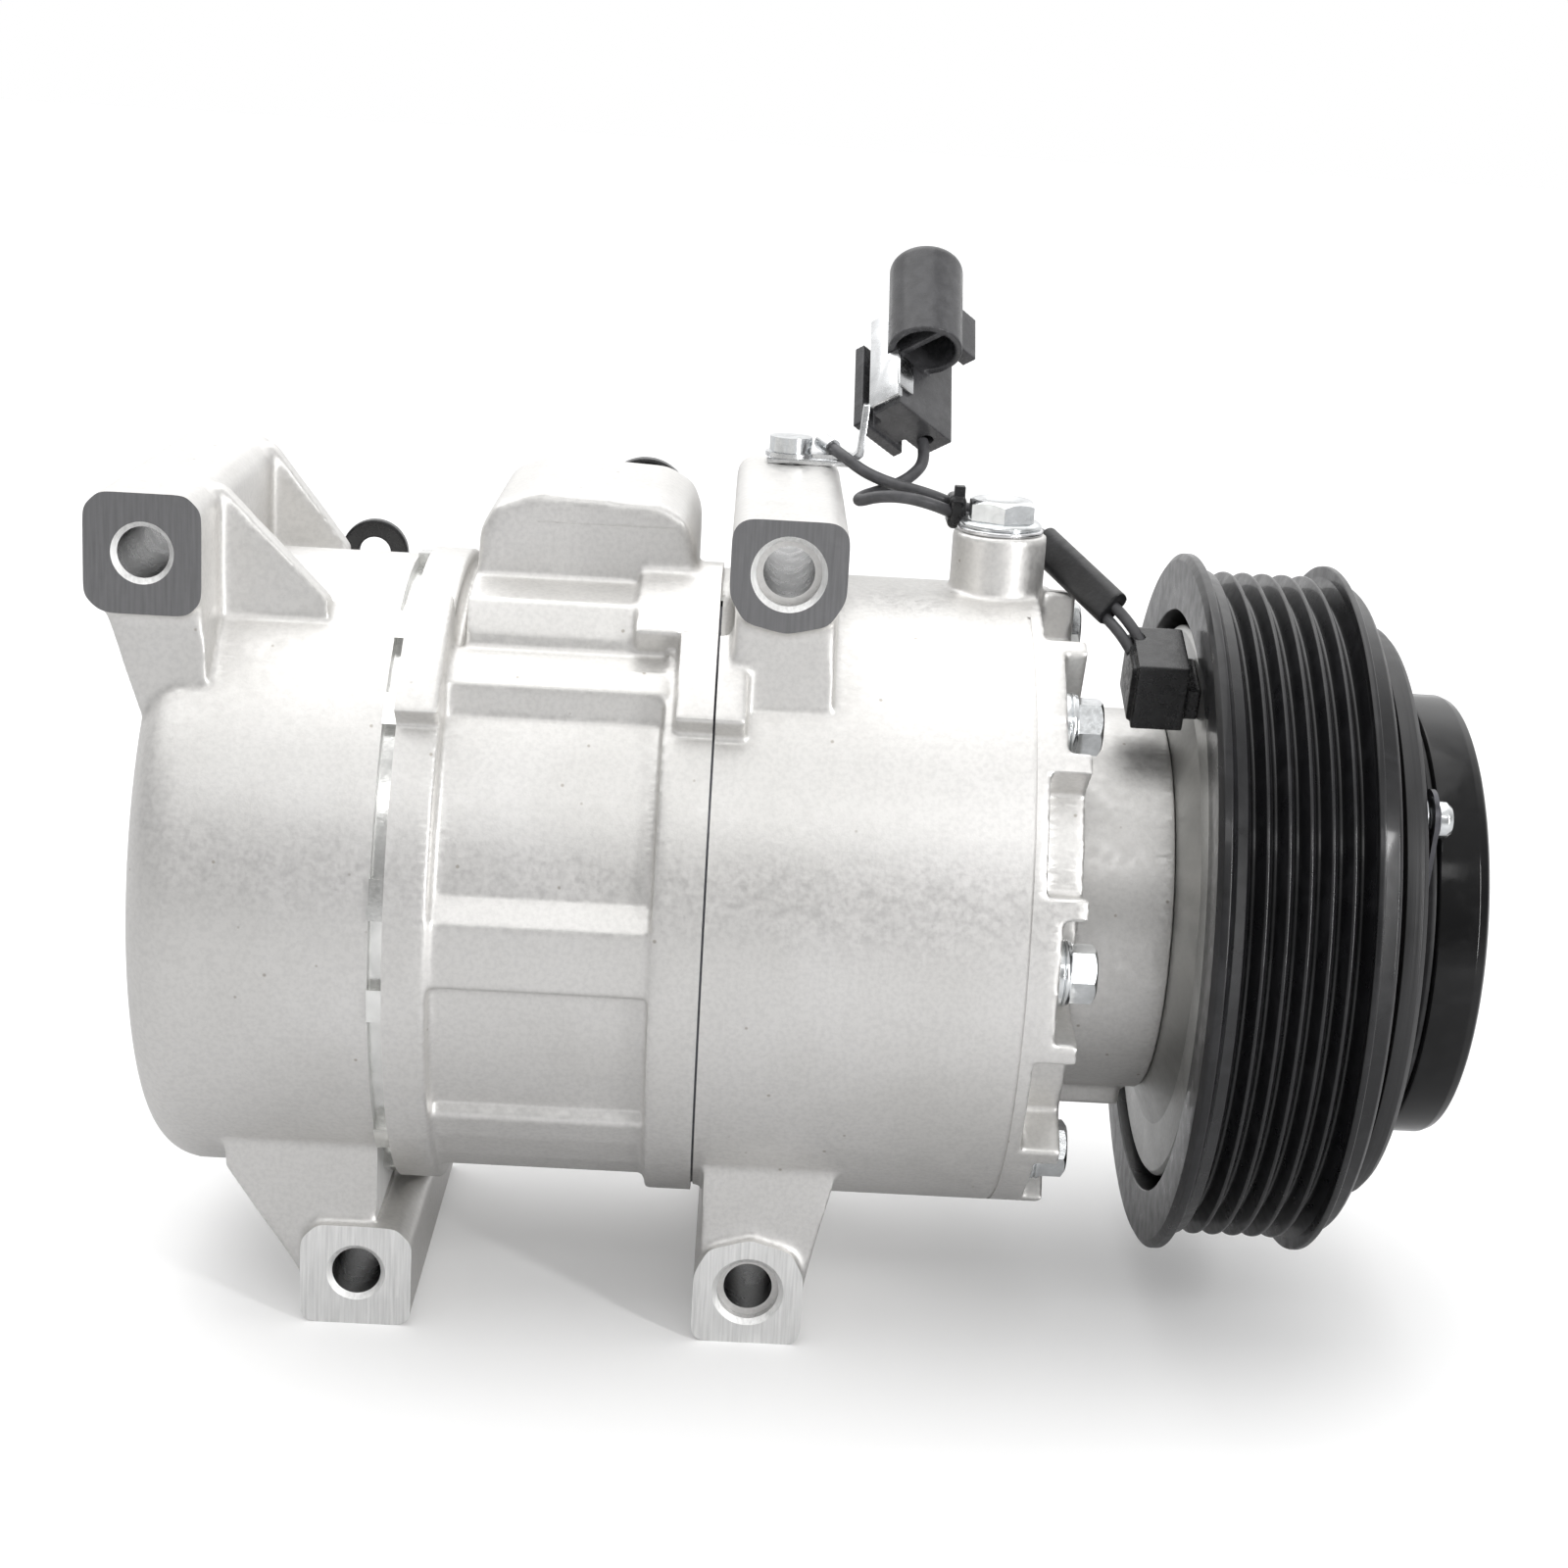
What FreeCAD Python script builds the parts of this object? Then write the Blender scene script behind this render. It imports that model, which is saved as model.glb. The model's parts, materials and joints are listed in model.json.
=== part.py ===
import FreeCAD, Part
import math
import os
import re
import Sketcher

# Swash-plate air-conditioning compressor with an electromagnetic clutch.
# Frame: +X along the shaft towards the clutch, +Z up, -Y the side with the machined ear faces.
# Origin: on the shaft axis, in the middle plane of the belt track. Millimetres.

doc = FreeCAD.newDocument("compressor")
sheet = doc.addObject("Spreadsheet::Sheet", "Sizes")

SIZES = {
    # stations along the shaft
    "rear_end": -192.7, "rear_seam": -151.9, "gasket": 2.5, "rear_flange_front": -142.2,
    "mid_flange_rear": -106.0, "mid_seam": -97.8, "body_front": -42.0,
    "lobe_front": -35.0, "nose_front": -17.6,
    # castings
    "rear_radius": 55.6, "flange_radius": 57.0, "block_radius": 53.6, "body_radius": 56.0,
    "nose_radius": 34.5, "rear_rounding": 8.0, "chamber_radius": 43.5, "crank_radius": 44.0,
    "crank_front": -51.0, "wall": 7.0,
    # through bolts
    "rim_radius": 47.0, "lobe_angle": 15.0, "notch_angle": 11.0, "notch_depth": 4.0,
    "bolt_circle": 48.5, "bolt_shank": 3.0, "bolt_hole": 3.2, "bolt_head": 5.6, "first_bolt": 53.0,
    # mounting ears
    "ear_front": -40.0, "ear_length": 70.0, "ear_half": 9.6, "ear_bore": 4.25, "counterbore": 5.4,
    "counterbore_depth": 2.5,
    "upper_rear_x": -191.5, "upper_rear_z": 61.7, "upper_front_x": -86.7, "upper_front_z": 64.0,
    "lower_rear_x": -155.1, "lower_rear_z": -63.5, "lower_front_x": -86.7, "lower_front_z": -63.5,
    # cylinders, pistons and drive inside
    "cylinder_circle": 30.5, "cylinder_bore": 12.5, "piston_radius": 12.4, "centre_bore": 13.0,
    "swash_x": -80.0, "swash_half": 4.0, "swash_radius": 38.5, "shaft_radius": 9.0,
    # clutch
    "rib_pitch": 3.56, "crest_radius": 60.3, "root_radius": 57.2, "back_rim_radius": 63.2,
    "front_rim_radius": 62.3, "pulley_back": -15.6, "pulley_front": 15.3, "cavity_radius": 53.0,
    "bearing_outer": 31.0, "bearing_inner": 20.0, "bearing_half": 10.0,
    "shell_outer": 50.3, "shell_inner": 37.0, "air_gap": 0.5, "armature_radius": 51.8,
    "armature_front": 21.5, "spring_back": 22.9, "hub_front": 26.0, "cup_radius": 40.0,
    "cup_front": 35.4,
    # plug boss, ports, box
    "plug_x": -49.3, "plug_boss_radius": 8.3, "plug_boss_top": 66.3,
    "discharge_x": -166.6, "discharge_z": 31.0, "suction_x": -113.6, "suction_z": 61.5,
    "valve_x": -178.0, "valve_z": -1.0, "relief_x": -160.5, "relief_z": -1.0,
    # coil lead
    "wire": 2.2,
}
for row, (alias, value) in enumerate(SIZES.items(), start=1):
    sheet.set(f"A{row}", alias)
    sheet.set(f"B{row}", str(value))
    sheet.setAlias(f"B{row}", alias)
doc.recompute()

BOLTS = 7
STEP = 360.0 / BOLTS
ALONG_X = FreeCAD.Rotation(FreeCAD.Vector(0, 1, 0), 90)
ALONG_Y = FreeCAD.Rotation(FreeCAD.Vector(1, 0, 0), -90)
ALONG_Z = FreeCAD.Rotation()
SIDE_PLANE = FreeCAD.Rotation(FreeCAD.Vector(1, 0, 0), 90)
END_PLANE = FreeCAD.Rotation(FreeCAD.Vector(0, 1, 0), FreeCAD.Vector(0, 0, 1), FreeCAD.Vector(1, 0, 0),
                             "XYZ")
NODES = []


# ---------------------------------------------------------------- helpers

def bound(text):
    """An expression with every size name pointed at the sheet."""
    return re.sub(r"[A-Za-z_]\w*", lambda m: ("Sizes." if m[0] in SIZES else "") + m[0], str(text))


def value(text):
    """The present value of an expression, in millimetres."""
    result = sheet.evalExpression(bound(text))
    return float(getattr(result, "Value", result))


def bind(thing, prop, text):
    thing.setExpression(prop, bound(text))


def place(thing, x, y, z, turn=ALONG_Z):
    thing.Placement = FreeCAD.Placement(FreeCAD.Vector(value(x), value(y), value(z)), turn)
    for axis, text in zip("xyz", (x, y, z)):
        bind(thing, f".Placement.Base.{axis}", text)
    return thing


def rod(name, turn, x, y, z, length, radius):
    """A cylinder that starts at x, y, z and runs along the axis that turn gives."""
    part = doc.addObject("Part::Cylinder", name)
    bind(part, "Radius", radius)
    bind(part, "Height", length)
    return place(part, x, y, z, turn)


def rod_x(name, start, length, radius, y=0, z=0):
    return rod(name, ALONG_X, start, y, z, length, radius)


def rod_y(name, x, z, start, length, radius):
    return rod(name, ALONG_Y, x, start, z, length, radius)


def rod_z(name, x, y, start, length, radius):
    return rod(name, ALONG_Z, x, y, start, length, radius)


def block(name, low, high):
    """A box between two corners, each given as three expressions."""
    part = doc.addObject("Part::Box", name)
    for prop, a, b in zip(("Length", "Width", "Height"), low, high):
        bind(part, prop, f"({b}) - ({a})")
    return place(part, *low)


def around(radius, degrees):
    """Y and Z of a point at an angle that starts at -Y and rises towards +Z."""
    return f"-({radius}) * cos(({degrees}) * 1deg)", f"({radius}) * sin(({degrees}) * 1deg)"


def bolt_angle(index):
    return f"first_bolt + {index * STEP:.4f}"


def fuse(name, shapes):
    part = doc.addObject("Part::MultiFuse", name)
    part.Shapes = shapes
    part.Refine = True
    return part


def cut(name, base, tools):
    """Base less all the tools."""
    tool = tools[0] if len(tools) == 1 else fuse(name + "_tools", tools)
    part = doc.addObject("Part::Cut", name)
    part.Base = base
    part.Tool = tool
    part.Refine = True
    return part


def group(name, shapes):
    """Several separate solids as one node."""
    part = doc.addObject("Part::Compound", name)
    part.Links = shapes
    return part


def ring_x(name, start, length, outer, inner, y=0, z=0):
    return cut(name, rod_x(name + "_outer", start, length, outer, y, z),
               [rod_x(name + "_inner", f"{start} - 1", f"({length}) + 2", inner, y, z)])


def ring_sector(name, start, length, outer, inner, low, high):
    """The part of a ring about the shaft axis that lies between two angles."""
    reach = f"1.5 * ({outer})"
    wedge = slab(name + "_wedge", "end", f"{start} - 1", f"({length}) + 2", [
        (0, 0), around(reach, low), around(reach, f"(({low}) + ({high})) / 2"), around(reach, high)])
    part = doc.addObject("Part::Common", name)
    part.Base = ring_x(name + "_ring", start, length, outer, inner)
    part.Tool = wedge
    return part


def sketch(name, points, turn, owner=None):
    """A closed outline whose every corner is bound to the sheet."""
    if owner is None:
        drawing = doc.addObject("Sketcher::SketchObject", name)
    else:
        drawing = owner.newObject("Sketcher::SketchObject", name)
    corners = [FreeCAD.Vector(value(a), value(b), 0) for a, b in points]
    count = len(corners)
    for i in range(count):
        drawing.addGeometry(Part.LineSegment(corners[i], corners[(i + 1) % count]), False)
    for i in range(count):
        drawing.addConstraint(Sketcher.Constraint("Coincident", i, 2, (i + 1) % count, 1))
    for i, (across, up) in enumerate(points):
        for kind, text, number in (("DistanceX", across, corners[i].x), ("DistanceY", up, corners[i].y)):
            index = drawing.addConstraint(Sketcher.Constraint(kind, -1, 1, i, 1, number))
            drawing.renameConstraint(index, f"corner{i}{kind[-1]}")
            drawing.setExpression(f"Constraints.corner{i}{kind[-1]}", bound(text))
    if owner is None:
        drawing.Placement = FreeCAD.Placement(FreeCAD.Vector(), turn)
    return drawing


def slab(name, plane, start, length, points):
    """An outline drawn in the XZ or YZ plane and pushed along Y or X from start."""
    turn, direction, axis = {"side": (SIDE_PLANE, (0, 1, 0), "y"), "end": (END_PLANE, (1, 0, 0), "x")}[plane]
    drawing = sketch(name + "_outline", points, turn)
    bind(drawing, f".Placement.Base.{axis}", start)
    part = doc.addObject("Part::Extrusion", name)
    part.Base = drawing
    part.DirMode = "Custom"
    part.Dir = FreeCAD.Vector(*direction)
    part.Solid = True
    bind(part, "LengthFwd", length)
    return part


def turned(name, outline):
    """A piece turned about the shaft axis from an outline of x, radius corners."""
    body = doc.addObject("PartDesign::Body", name)
    plane = next(f for f in body.Origin.OriginFeatures if f.Role == "XZ_Plane")
    drawing = sketch(name + "_outline", outline, None, body)
    drawing.AttachmentSupport = [(plane, "")]
    drawing.MapMode = "FlatFace"
    turn = body.newObject("PartDesign::Revolution", name + "_turn")
    turn.Profile = drawing
    turn.ReferenceAxis = (drawing, ["H_Axis"])
    turn.Angle = 360
    return body


def hexagon_rod(name, turn, x, y, z, length, across_flats):
    part = doc.addObject("Part::Prism", name)
    part.Polygon = 6
    bind(part, "Circumradius", f"({across_flats}) / sqrt(3)")
    bind(part, "Height", length)
    return place(part, x, y, z, turn)


def round_edges(name, base, radius, wanted):
    """Fillet the edges of base that wanted(edge) picks."""
    doc.recompute()
    part = doc.addObject("Part::Fillet", name)
    part.Base = base
    part.Edges = [(i + 1, radius, radius) for i, edge in enumerate(base.Shape.Edges) if wanted(edge)]
    return part


def made(name, shape, where=FreeCAD.Placement()):
    """A piece whose shape is worked out from the sheet's values."""
    part = doc.addObject("Part::Feature", name)
    part.Shape = shape
    part.Placement = where
    return part


def node(part, label):
    part.Label = label
    NODES.append(part)


def bolt_holes(name, start, length, radius="bolt_hole"):
    holes = []
    for i in range(BOLTS):
        y, z = around("bolt_circle", bolt_angle(i))
        holes.append(rod_x(f"{name}_{i}", start, length, radius, y, z))
    return holes


def ear_bores(name, x, z, counterbored):
    tools = [rod_y(name + "_bore", x, z, "ear_front - 1", "ear_length + 2", "ear_bore")]
    if counterbored:
        depth = "counterbore_depth + 1"
        tools.append(rod_y(name + "_counterbore", x, z, "ear_front - 1", depth, "counterbore"))
    return tools


def ear_outline(ear, bottom, top, low_corner, high_corner):
    """The square end of an ear with its corners cut; ear is the start of its two size names."""
    return [
        (f"{ear}x - ear_half + {low_corner}", f"{ear}z + {bottom}"),
        (f"{ear}x + ear_half - {low_corner}", f"{ear}z + {bottom}"),
        (f"{ear}x + ear_half", f"{ear}z + {bottom + low_corner}"),
        (f"{ear}x + ear_half", f"{ear}z + {top - high_corner}"),
        (f"{ear}x + ear_half - {high_corner}", f"{ear}z + {top}"),
        (f"{ear}x - ear_half + {high_corner}", f"{ear}z + {top}"),
        (f"{ear}x - ear_half", f"{ear}z + {top - high_corner}"),
        (f"{ear}x - ear_half", f"{ear}z + {bottom + low_corner}")]


# ---------------------------------------------------------------- castings

def rear_housing():
    barrel = rod_x("rear_barrel", "rear_end", "rear_seam - rear_end", "rear_radius")
    rounded = round_edges("rear_rounded", barrel, value("rear_rounding"),
                          lambda e: abs(e.BoundBox.XMax - value("rear_end")) < 0.01)
    bind(rounded, "Placement.Base.x", "0")
    upper, lower = "upper_rear_", "lower_rear_"
    solids = [
        rounded,
        slab("upper_rear_ear", "side", "ear_front", "ear_length",
             ear_outline(upper, -9.8, 9.8, 2.4, 2.6)),
        slab("upper_rear_neck", "side", "ear_front + 1", "ear_length - 2", [
            (upper + "x + 1", upper + "z - 32"), (upper + "x + 11", upper + "z - 32"),
            (upper + "x + 9.6", upper + "z - 6"), (upper + "x - 7", upper + "z - 9")]),
        slab("lower_rear_ear", "side", "ear_front", "ear_length",
             ear_outline(lower, -9.7, 8.6, 1.4, 2.8)),
        slab("lower_rear_neck", "side", "ear_front + 1.5", "ear_length - 3", [
            (lower + "x - ear_half", lower + "z - 2"), ("rear_seam", lower + "z + 6"),
            ("rear_seam", lower + "z + 30"), (lower + "x - 24", lower + "z + 30"),
            (lower + "x - 23", lower + "z + 18")]),
        rod_y("discharge_boss", "discharge_x", "discharge_z", 20, 31, 11),
        rod_y("valve_boss", "valve_x", "valve_z", -6, 56, 12.5),
        rod_y("relief_boss", "relief_x", "relief_z", 40, 17, 8),
    ]
    for i, (start, foot) in enumerate((("ear_front + 14", 29), ("ear_front + 62", 25))):
        solids.append(slab(f"gusset_{i}", "side", start, 4.5, [
            (upper + "x + 6", upper + "z + 9.4"), (upper + "x + 10", upper + "z + 9.4"),
            (f"{upper}x + {foot - 1}", upper + "z - 9"), (f"{upper}x + {foot - 1}", upper + "z - 22"),
            (upper + "x + 6", upper + "z - 22")]))
    chamber = ring_x("suction_chamber", "rear_end + wall", "rear_seam - rear_end", "chamber_radius", "24")
    hollow = [
        cut("open_chamber", chamber, [rod_y("valve_wall", "valve_x", "valve_z", -6, 60, 12.4)]),
        rod_x("discharge_chamber", "rear_end + wall", "rear_seam - rear_end", 20.5),
        rod_y("valve_bore", "valve_x", "valve_z", 0, 70, 9),
        rod_y("discharge_bore", "discharge_x", "discharge_z", 38, 20, 7.5),
        rod_y("discharge_seat", "discharge_x", "discharge_z", 51, 10, 11),
        rod_y("relief_bore", "relief_x", "relief_z", 44, 20, 4),
        ring_x("flange_clearance", "rear_seam", 12, 90, 0.1),
    ]
    holes = bolt_holes("rear_bolt_hole", "rear_end + 14", "rear_seam - rear_end")
    tools = hollow[:-1] + holes + ear_bores("upper_rear", "upper_rear_x", "upper_rear_z", False)
    tools += ear_bores("lower_rear", "lower_rear_x", "lower_rear_z", False)
    tools.append(rod_x("flange_clearance", "rear_seam", 14, "flange_radius + 1.2"))
    node(cut("rear_housing", fuse("rear_casting", solids), tools), "rear_housing")


def muffler_solids():
    """The rib, the flat panel, the shelf and the silencer dome along the top of the cylinder block."""
    length = "mid_flange_rear - rear_flange_front"
    return [
        slab("top_rib", "end", "rear_flange_front", length, [
            (-38.5, 30), (-38.5, 42.6), (-35.2, 45.0), (-30.5, 46.6), (-20, 46), (-20, 30)]),
        slab("panel", "end", "rear_flange_front + 2", "35.2", [
            (-30.5, 40), (-29.3, 49.5), (-26, 54.6), (-15.5, 56.6), (20, 56.6), (30, 46), (30, 40)]),
        slab("dome", "side", -16, 44, [
            ("rear_flange_front + 2.4", 50), ("mid_flange_rear + 3.6", 50), ("mid_flange_rear + 3.6", 63.5),
            ("mid_flange_rear + 1.8", 68), ("mid_flange_rear - 3", 70.6), ("rear_flange_front + 12", 71.6),
            ("rear_flange_front + 5", 68.8), ("rear_flange_front + 2.6", 64)]),
        slab("suction_port_block", "side", 10, 28, [
            ("suction_x - 12", 45), ("suction_x + 7", 45), ("suction_x + 7", 65), ("suction_x + 4", 67.4),
            ("suction_x - 9", 67.4), ("suction_x - 12", 65)]),
    ]


def flange_lug(name, start, length, low, high, radius):
    """A raised pad on a casting between two angles."""
    return ring_sector(name, start, length, radius, "block_radius - 8", low, high)


def cylinder_block():
    solids = [
        rod_x("block_rear_flange", "rear_seam + gasket", "rear_flange_front - rear_seam - gasket",
              "flange_radius"),
        rod_x("block_barrel", "rear_seam + gasket", "mid_seam - rear_seam - gasket", "block_radius"),
        rod_x("block_mid_flange", "mid_flange_rear", "mid_seam - mid_flange_rear", "flange_radius"),
        flange_lug("rear_lug", "rear_seam + gasket", "rear_flange_front - rear_seam - gasket", 40, 64, 61.5),
        flange_lug("mid_lug", "mid_flange_rear + 2", "mid_seam - mid_flange_rear - 2", 41, 58, 61.5),
        flange_lug("mid_top_lug", "mid_flange_rear - 5.7", "mid_seam - mid_flange_rear + 5.7", 58, 80, 61),
        slab("middle_step", "end", "rear_flange_front", "mid_flange_rear - rear_flange_front", [
            around(48, -5), around(56, -5), around(56, 1), around(56, 6.5), around(53.4, 11.5),
            around(48, 11)]),
        slab("low_step", "end", "rear_flange_front", "mid_flange_rear - rear_flange_front", [
            around(48, -56), around(55.6, -56), around(55.6, -48), around(55.6, -40), around(55.6, -33.5),
            around(53.6, -32), around(48, -32)]),
    ] + muffler_solids()
    tools = [
        rod_x("valve_plate_seat", "rear_seam", 5.6, 40),
        rod_x("centre_bore", "rear_seam", "mid_seam - rear_seam + 1", "centre_bore"),
        block("silencer_chamber", ("rear_flange_front + 7", -11, 58), ("mid_flange_rear - 2", 22, 67)),
        rod_y("suction_bore", "suction_x", "suction_z", 24, 20, 6.5),
    ]
    for i in range(BOLTS):
        y, z = around("cylinder_circle", f"{bolt_angle(i)} + {STEP / 2:.4f}")
        tools.append(rod_x(f"cylinder_{i}", "rear_seam", "mid_seam - rear_seam + 1", "cylinder_bore", y, z))
    tools += bolt_holes("block_bolt_hole", "rear_seam", "mid_seam - rear_seam + 1")
    node(cut("cylinder_block", fuse("block_casting", solids), tools), "cylinder_block")


def front_housing():
    upper, lower = "upper_front_", "lower_front_"
    solids = [
        rod_x("front_barrel", "mid_seam + 0.4", "body_front - mid_seam - 0.4", "body_radius"),
        rod_x("front_rim", "body_front - 1", "lobe_front - body_front + 1", "rim_radius"),
        rod_x("nose", "body_front", "nose_front - body_front", "nose_radius"),
        slab("nose_step", "end", "body_front", "nose_front - body_front - 3", [
            (-13, -30), (13, -30), (12, -36.2), (-12, -36.2)]),
        rod_x("snout", "nose_front", "12 - nose_front", "bearing_inner"),
        flange_lug("front_seam_lug", "mid_seam + 0.4", 5, 41, 58, 61.5),
        rod_z("plug_boss", "plug_x", 0, 44, "plug_boss_top - 44", "plug_boss_radius"),
        slab("upper_front_ear", "side", "ear_front", "ear_length", [
            (upper + "x - ear_half", upper + "z - 4"), (upper + "x - 6.8", upper + "z - 8.2"),
            (upper + "x", upper + "z - 9.8"), (upper + "x + 6.8", upper + "z - 8.2"),
            (upper + "x + ear_half", upper + "z - 4"), (upper + "x + ear_half", upper + "z + 6.9"),
            (upper + "x + ear_half - 2", upper + "z + 8.9"),
            (upper + "x - ear_half + 2", upper + "z + 8.9"),
            (upper + "x - ear_half", upper + "z + 6.9")]),
        slab("upper_front_neck", "side", "ear_front + 1.5", "ear_length - 3", [
            (upper + "x - 8.6", upper + "z - 30"), (upper + "x + 8.6", upper + "z - 30"),
            (upper + "x + 8.4", upper + "z - 3"), (upper + "x - 8.4", upper + "z - 3")]),
        slab("lower_front_ear", "side", "ear_front", "ear_length", [
            (lower + "x - ear_half", lower + "z - 8.3"), (lower + "x - ear_half + 1.4", lower + "z - 9.7"),
            (lower + "x + ear_half - 1.4", lower + "z - 9.7"), (lower + "x + ear_half", lower + "z - 8.3"),
            (lower + "x + ear_half", lower + "z + 3"), (lower + "x + 7.2", lower + "z + 7.6"),
            (lower + "x", lower + "z + 9.8"), (lower + "x - 7.2", lower + "z + 7.6"),
            (lower + "x - ear_half", lower + "z + 3")]),
        slab("lower_front_neck", "side", "ear_front + 1.5", "ear_length - 3", [
            (lower + "x - 8.8", lower + "z - 2"), (lower + "x + 9.2", lower + "z - 2"),
            (lower + "x + 12.5", lower + "z + 14"), (lower + "x + 16", lower + "z + 30"),
            (lower + "x - 8.8", lower + "z + 30")]),
    ]
    lobes, notches = [], []
    for i in range(BOLTS):
        middle = bolt_angle(i)
        lobes.append(ring_sector(f"bolt_lobe_{i}", "body_front - 1", "lobe_front - body_front + 1",
                                 "body_radius", "rim_radius - 2", f"{middle} - lobe_angle",
                                 f"{middle} + lobe_angle"))
        notches.append(ring_sector(f"bolt_notch_{i}", "lobe_front - notch_depth", "notch_depth + 2", 70,
                                   "bolt_circle - 7", f"{middle} - notch_angle", f"{middle} + notch_angle"))
    whole = fuse("front_whole", solids + lobes)
    tools = [
        rod_x("crank_chamber", "mid_seam - 1", "crank_front - mid_seam + 1", "crank_radius"),
        rod_x("thrust_seat", "crank_front - 1", 3, 20.1),
        rod_x("front_bearing_seat", "crank_front", 15, 16),
        rod_x("shaft_passage", "crank_front", 70, 13),
        ring_x("bearing_snap_groove", "bearing_half - 1.2", 1.7, 24, 18.9),
    ]
    tools += bolt_holes("front_bolt_hole", "mid_seam - 1", "lobe_front - mid_seam + 4")
    tools += notches
    tools += ear_bores("upper_front", "upper_front_x", "upper_front_z", True)
    tools += ear_bores("lower_front", "lower_front_x", "lower_front_z", True)
    tools.append(rod_z("plug_hole", "plug_x", 0, 40, 40, 4.1))
    tools.append(rod_z("ground_screw_hole", "upper_front_x", 24, 69.2, 10, 2.05))
    node(cut("front_housing", whole, tools), "front_housing")


# ---------------------------------------------------------------- seams and fasteners

def seam_pieces():
    tabs = []
    for i in range(BOLTS):
        for j, (low, high) in enumerate(((-13, -7), (5, 12))):
            angle = f"{bolt_angle(i)}"
            low, high = f"{angle} + {low}", f"{angle} + {high}"
            tabs.append(flange_lug(f"tab_{i}_{j}", "rear_seam", "gasket", low, high, 56.4))
    ring = fuse("gasket_blank", [rod_x("gasket_disc", "rear_seam", "gasket", 53.9)] + tabs)
    tools = [rod_x("gasket_window", "rear_seam - 1", 5, 40)] + bolt_holes("gasket_hole", "rear_seam - 1", 5)
    node(cut("rear_gasket", ring, tools), "rear_gasket")

    ports = []
    for i in range(BOLTS):
        for j, (circle, radius) in enumerate(((33, 4.0), (17.5, 2.2))):
            y, z = around(circle, f"{bolt_angle(i)} + {STEP / 2:.4f}")
            ports.append(rod_x(f"plate_port_{i}_{j}", "rear_seam - 1", 8, radius, y, z))
    node(cut("valve_plate", rod_x("valve_plate_blank", "rear_seam", 5.1, 39.9), ports), "valve_plate")
    node(ring_x("suction_reed_plate", "rear_seam + 5.1", 0.4, 39.5, 12), "suction_reed_plate")
    node(ring_x("discharge_reed_plate", "rear_seam - 0.4", 0.4, 19.6, 3), "discharge_reed_plate")
    node(ring_x("reed_retainer", "rear_seam - 2.0", 1.6, 19.0, 3), "reed_retainer")
    node(cut("mid_gasket", ring_x("mid_gasket_blank", "mid_seam", 0.4, 55.4, "crank_radius"),
             bolt_holes("mid_gasket_hole", "mid_seam - 1", 3)), "mid_gasket")


def through_bolts():
    bolts, washers = [], []
    for i in range(BOLTS):
        y, z = around("bolt_circle", bolt_angle(i))
        seat = "lobe_front - notch_depth + 1"
        shank = rod_x(f"shank_{i}", "rear_end + 16", f"{seat} - rear_end - 15.5", "bolt_shank", y, z)
        flange = rod_x(f"bolt_flange_{i}", seat, 1.2, "bolt_head", y, z)
        head = hexagon_rod(f"bolt_hex_{i}", ALONG_X, f"{seat} + 1.2", y, z, 4.6, "1.6 * bolt_head")
        bolts.append(fuse(f"bolt_{i}", [shank, flange, head]))
        washers.append(ring_x(f"bolt_washer_{i}", f"{seat} - 1", 1.0, "bolt_head", "bolt_hole", y, z))
    node(group("through_bolts", bolts), "through_bolts")
    node(group("bolt_washers", washers), "bolt_washers")


def plug_and_ports():
    top = "plug_boss_top"
    node(cut("plug_washer", rod_z("plug_washer_outer", "plug_x", 0, top, 0.8, 7.6),
             [rod_z("plug_washer_inner", "plug_x", 0, top + " - 1", 3, 4.2)]), "plug_washer")
    node(fuse("oil_plug", [
        rod_z("plug_thread", "plug_x", 0, top + " - 13", 14, 4.0),
        rod_z("plug_flange", "plug_x", 0, top + " + 0.8", 0.9, 7.2),
        hexagon_rod("plug_hex", ALONG_Z, "plug_x", 0, top + " + 1.7", 4.0, 11)]), "oil_plug")
    cap = cut("discharge_ring", rod_y("discharge_ring_outer", "discharge_x", 46.4, 51.1, 2.4, 6.5),
              [rod_y("discharge_ring_hole", "discharge_x", 46.4, 50, 5, 3.1)])
    node(fuse("discharge_port_cap", [
        rod_y("discharge_collar", "discharge_x", "discharge_z", 42, 9.2, 7.4),
        rod_y("discharge_disc", "discharge_x", "discharge_z", 51.1, 2.6, 10.6), cap]), "discharge_port_cap")
    node(fuse("suction_port_cap", [
        rod_y("suction_collar", "suction_x", "suction_z", 30, 8.2, 6.4),
        rod_y("suction_disc", "suction_x", "suction_z", 38.1, 3.0, 8.4)]), "suction_port_cap")
    node(fuse("relief_valve", [
        rod_y("relief_thread", "relief_x", "relief_z", 46, 12, 3.9),
        hexagon_rod("relief_hex", ALONG_Y, "relief_x", 57, "relief_z", 4.5, 11),
        rod_y("relief_nose", "relief_x", "relief_z", 61, 3, 3.2)]), "relief_valve")


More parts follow.
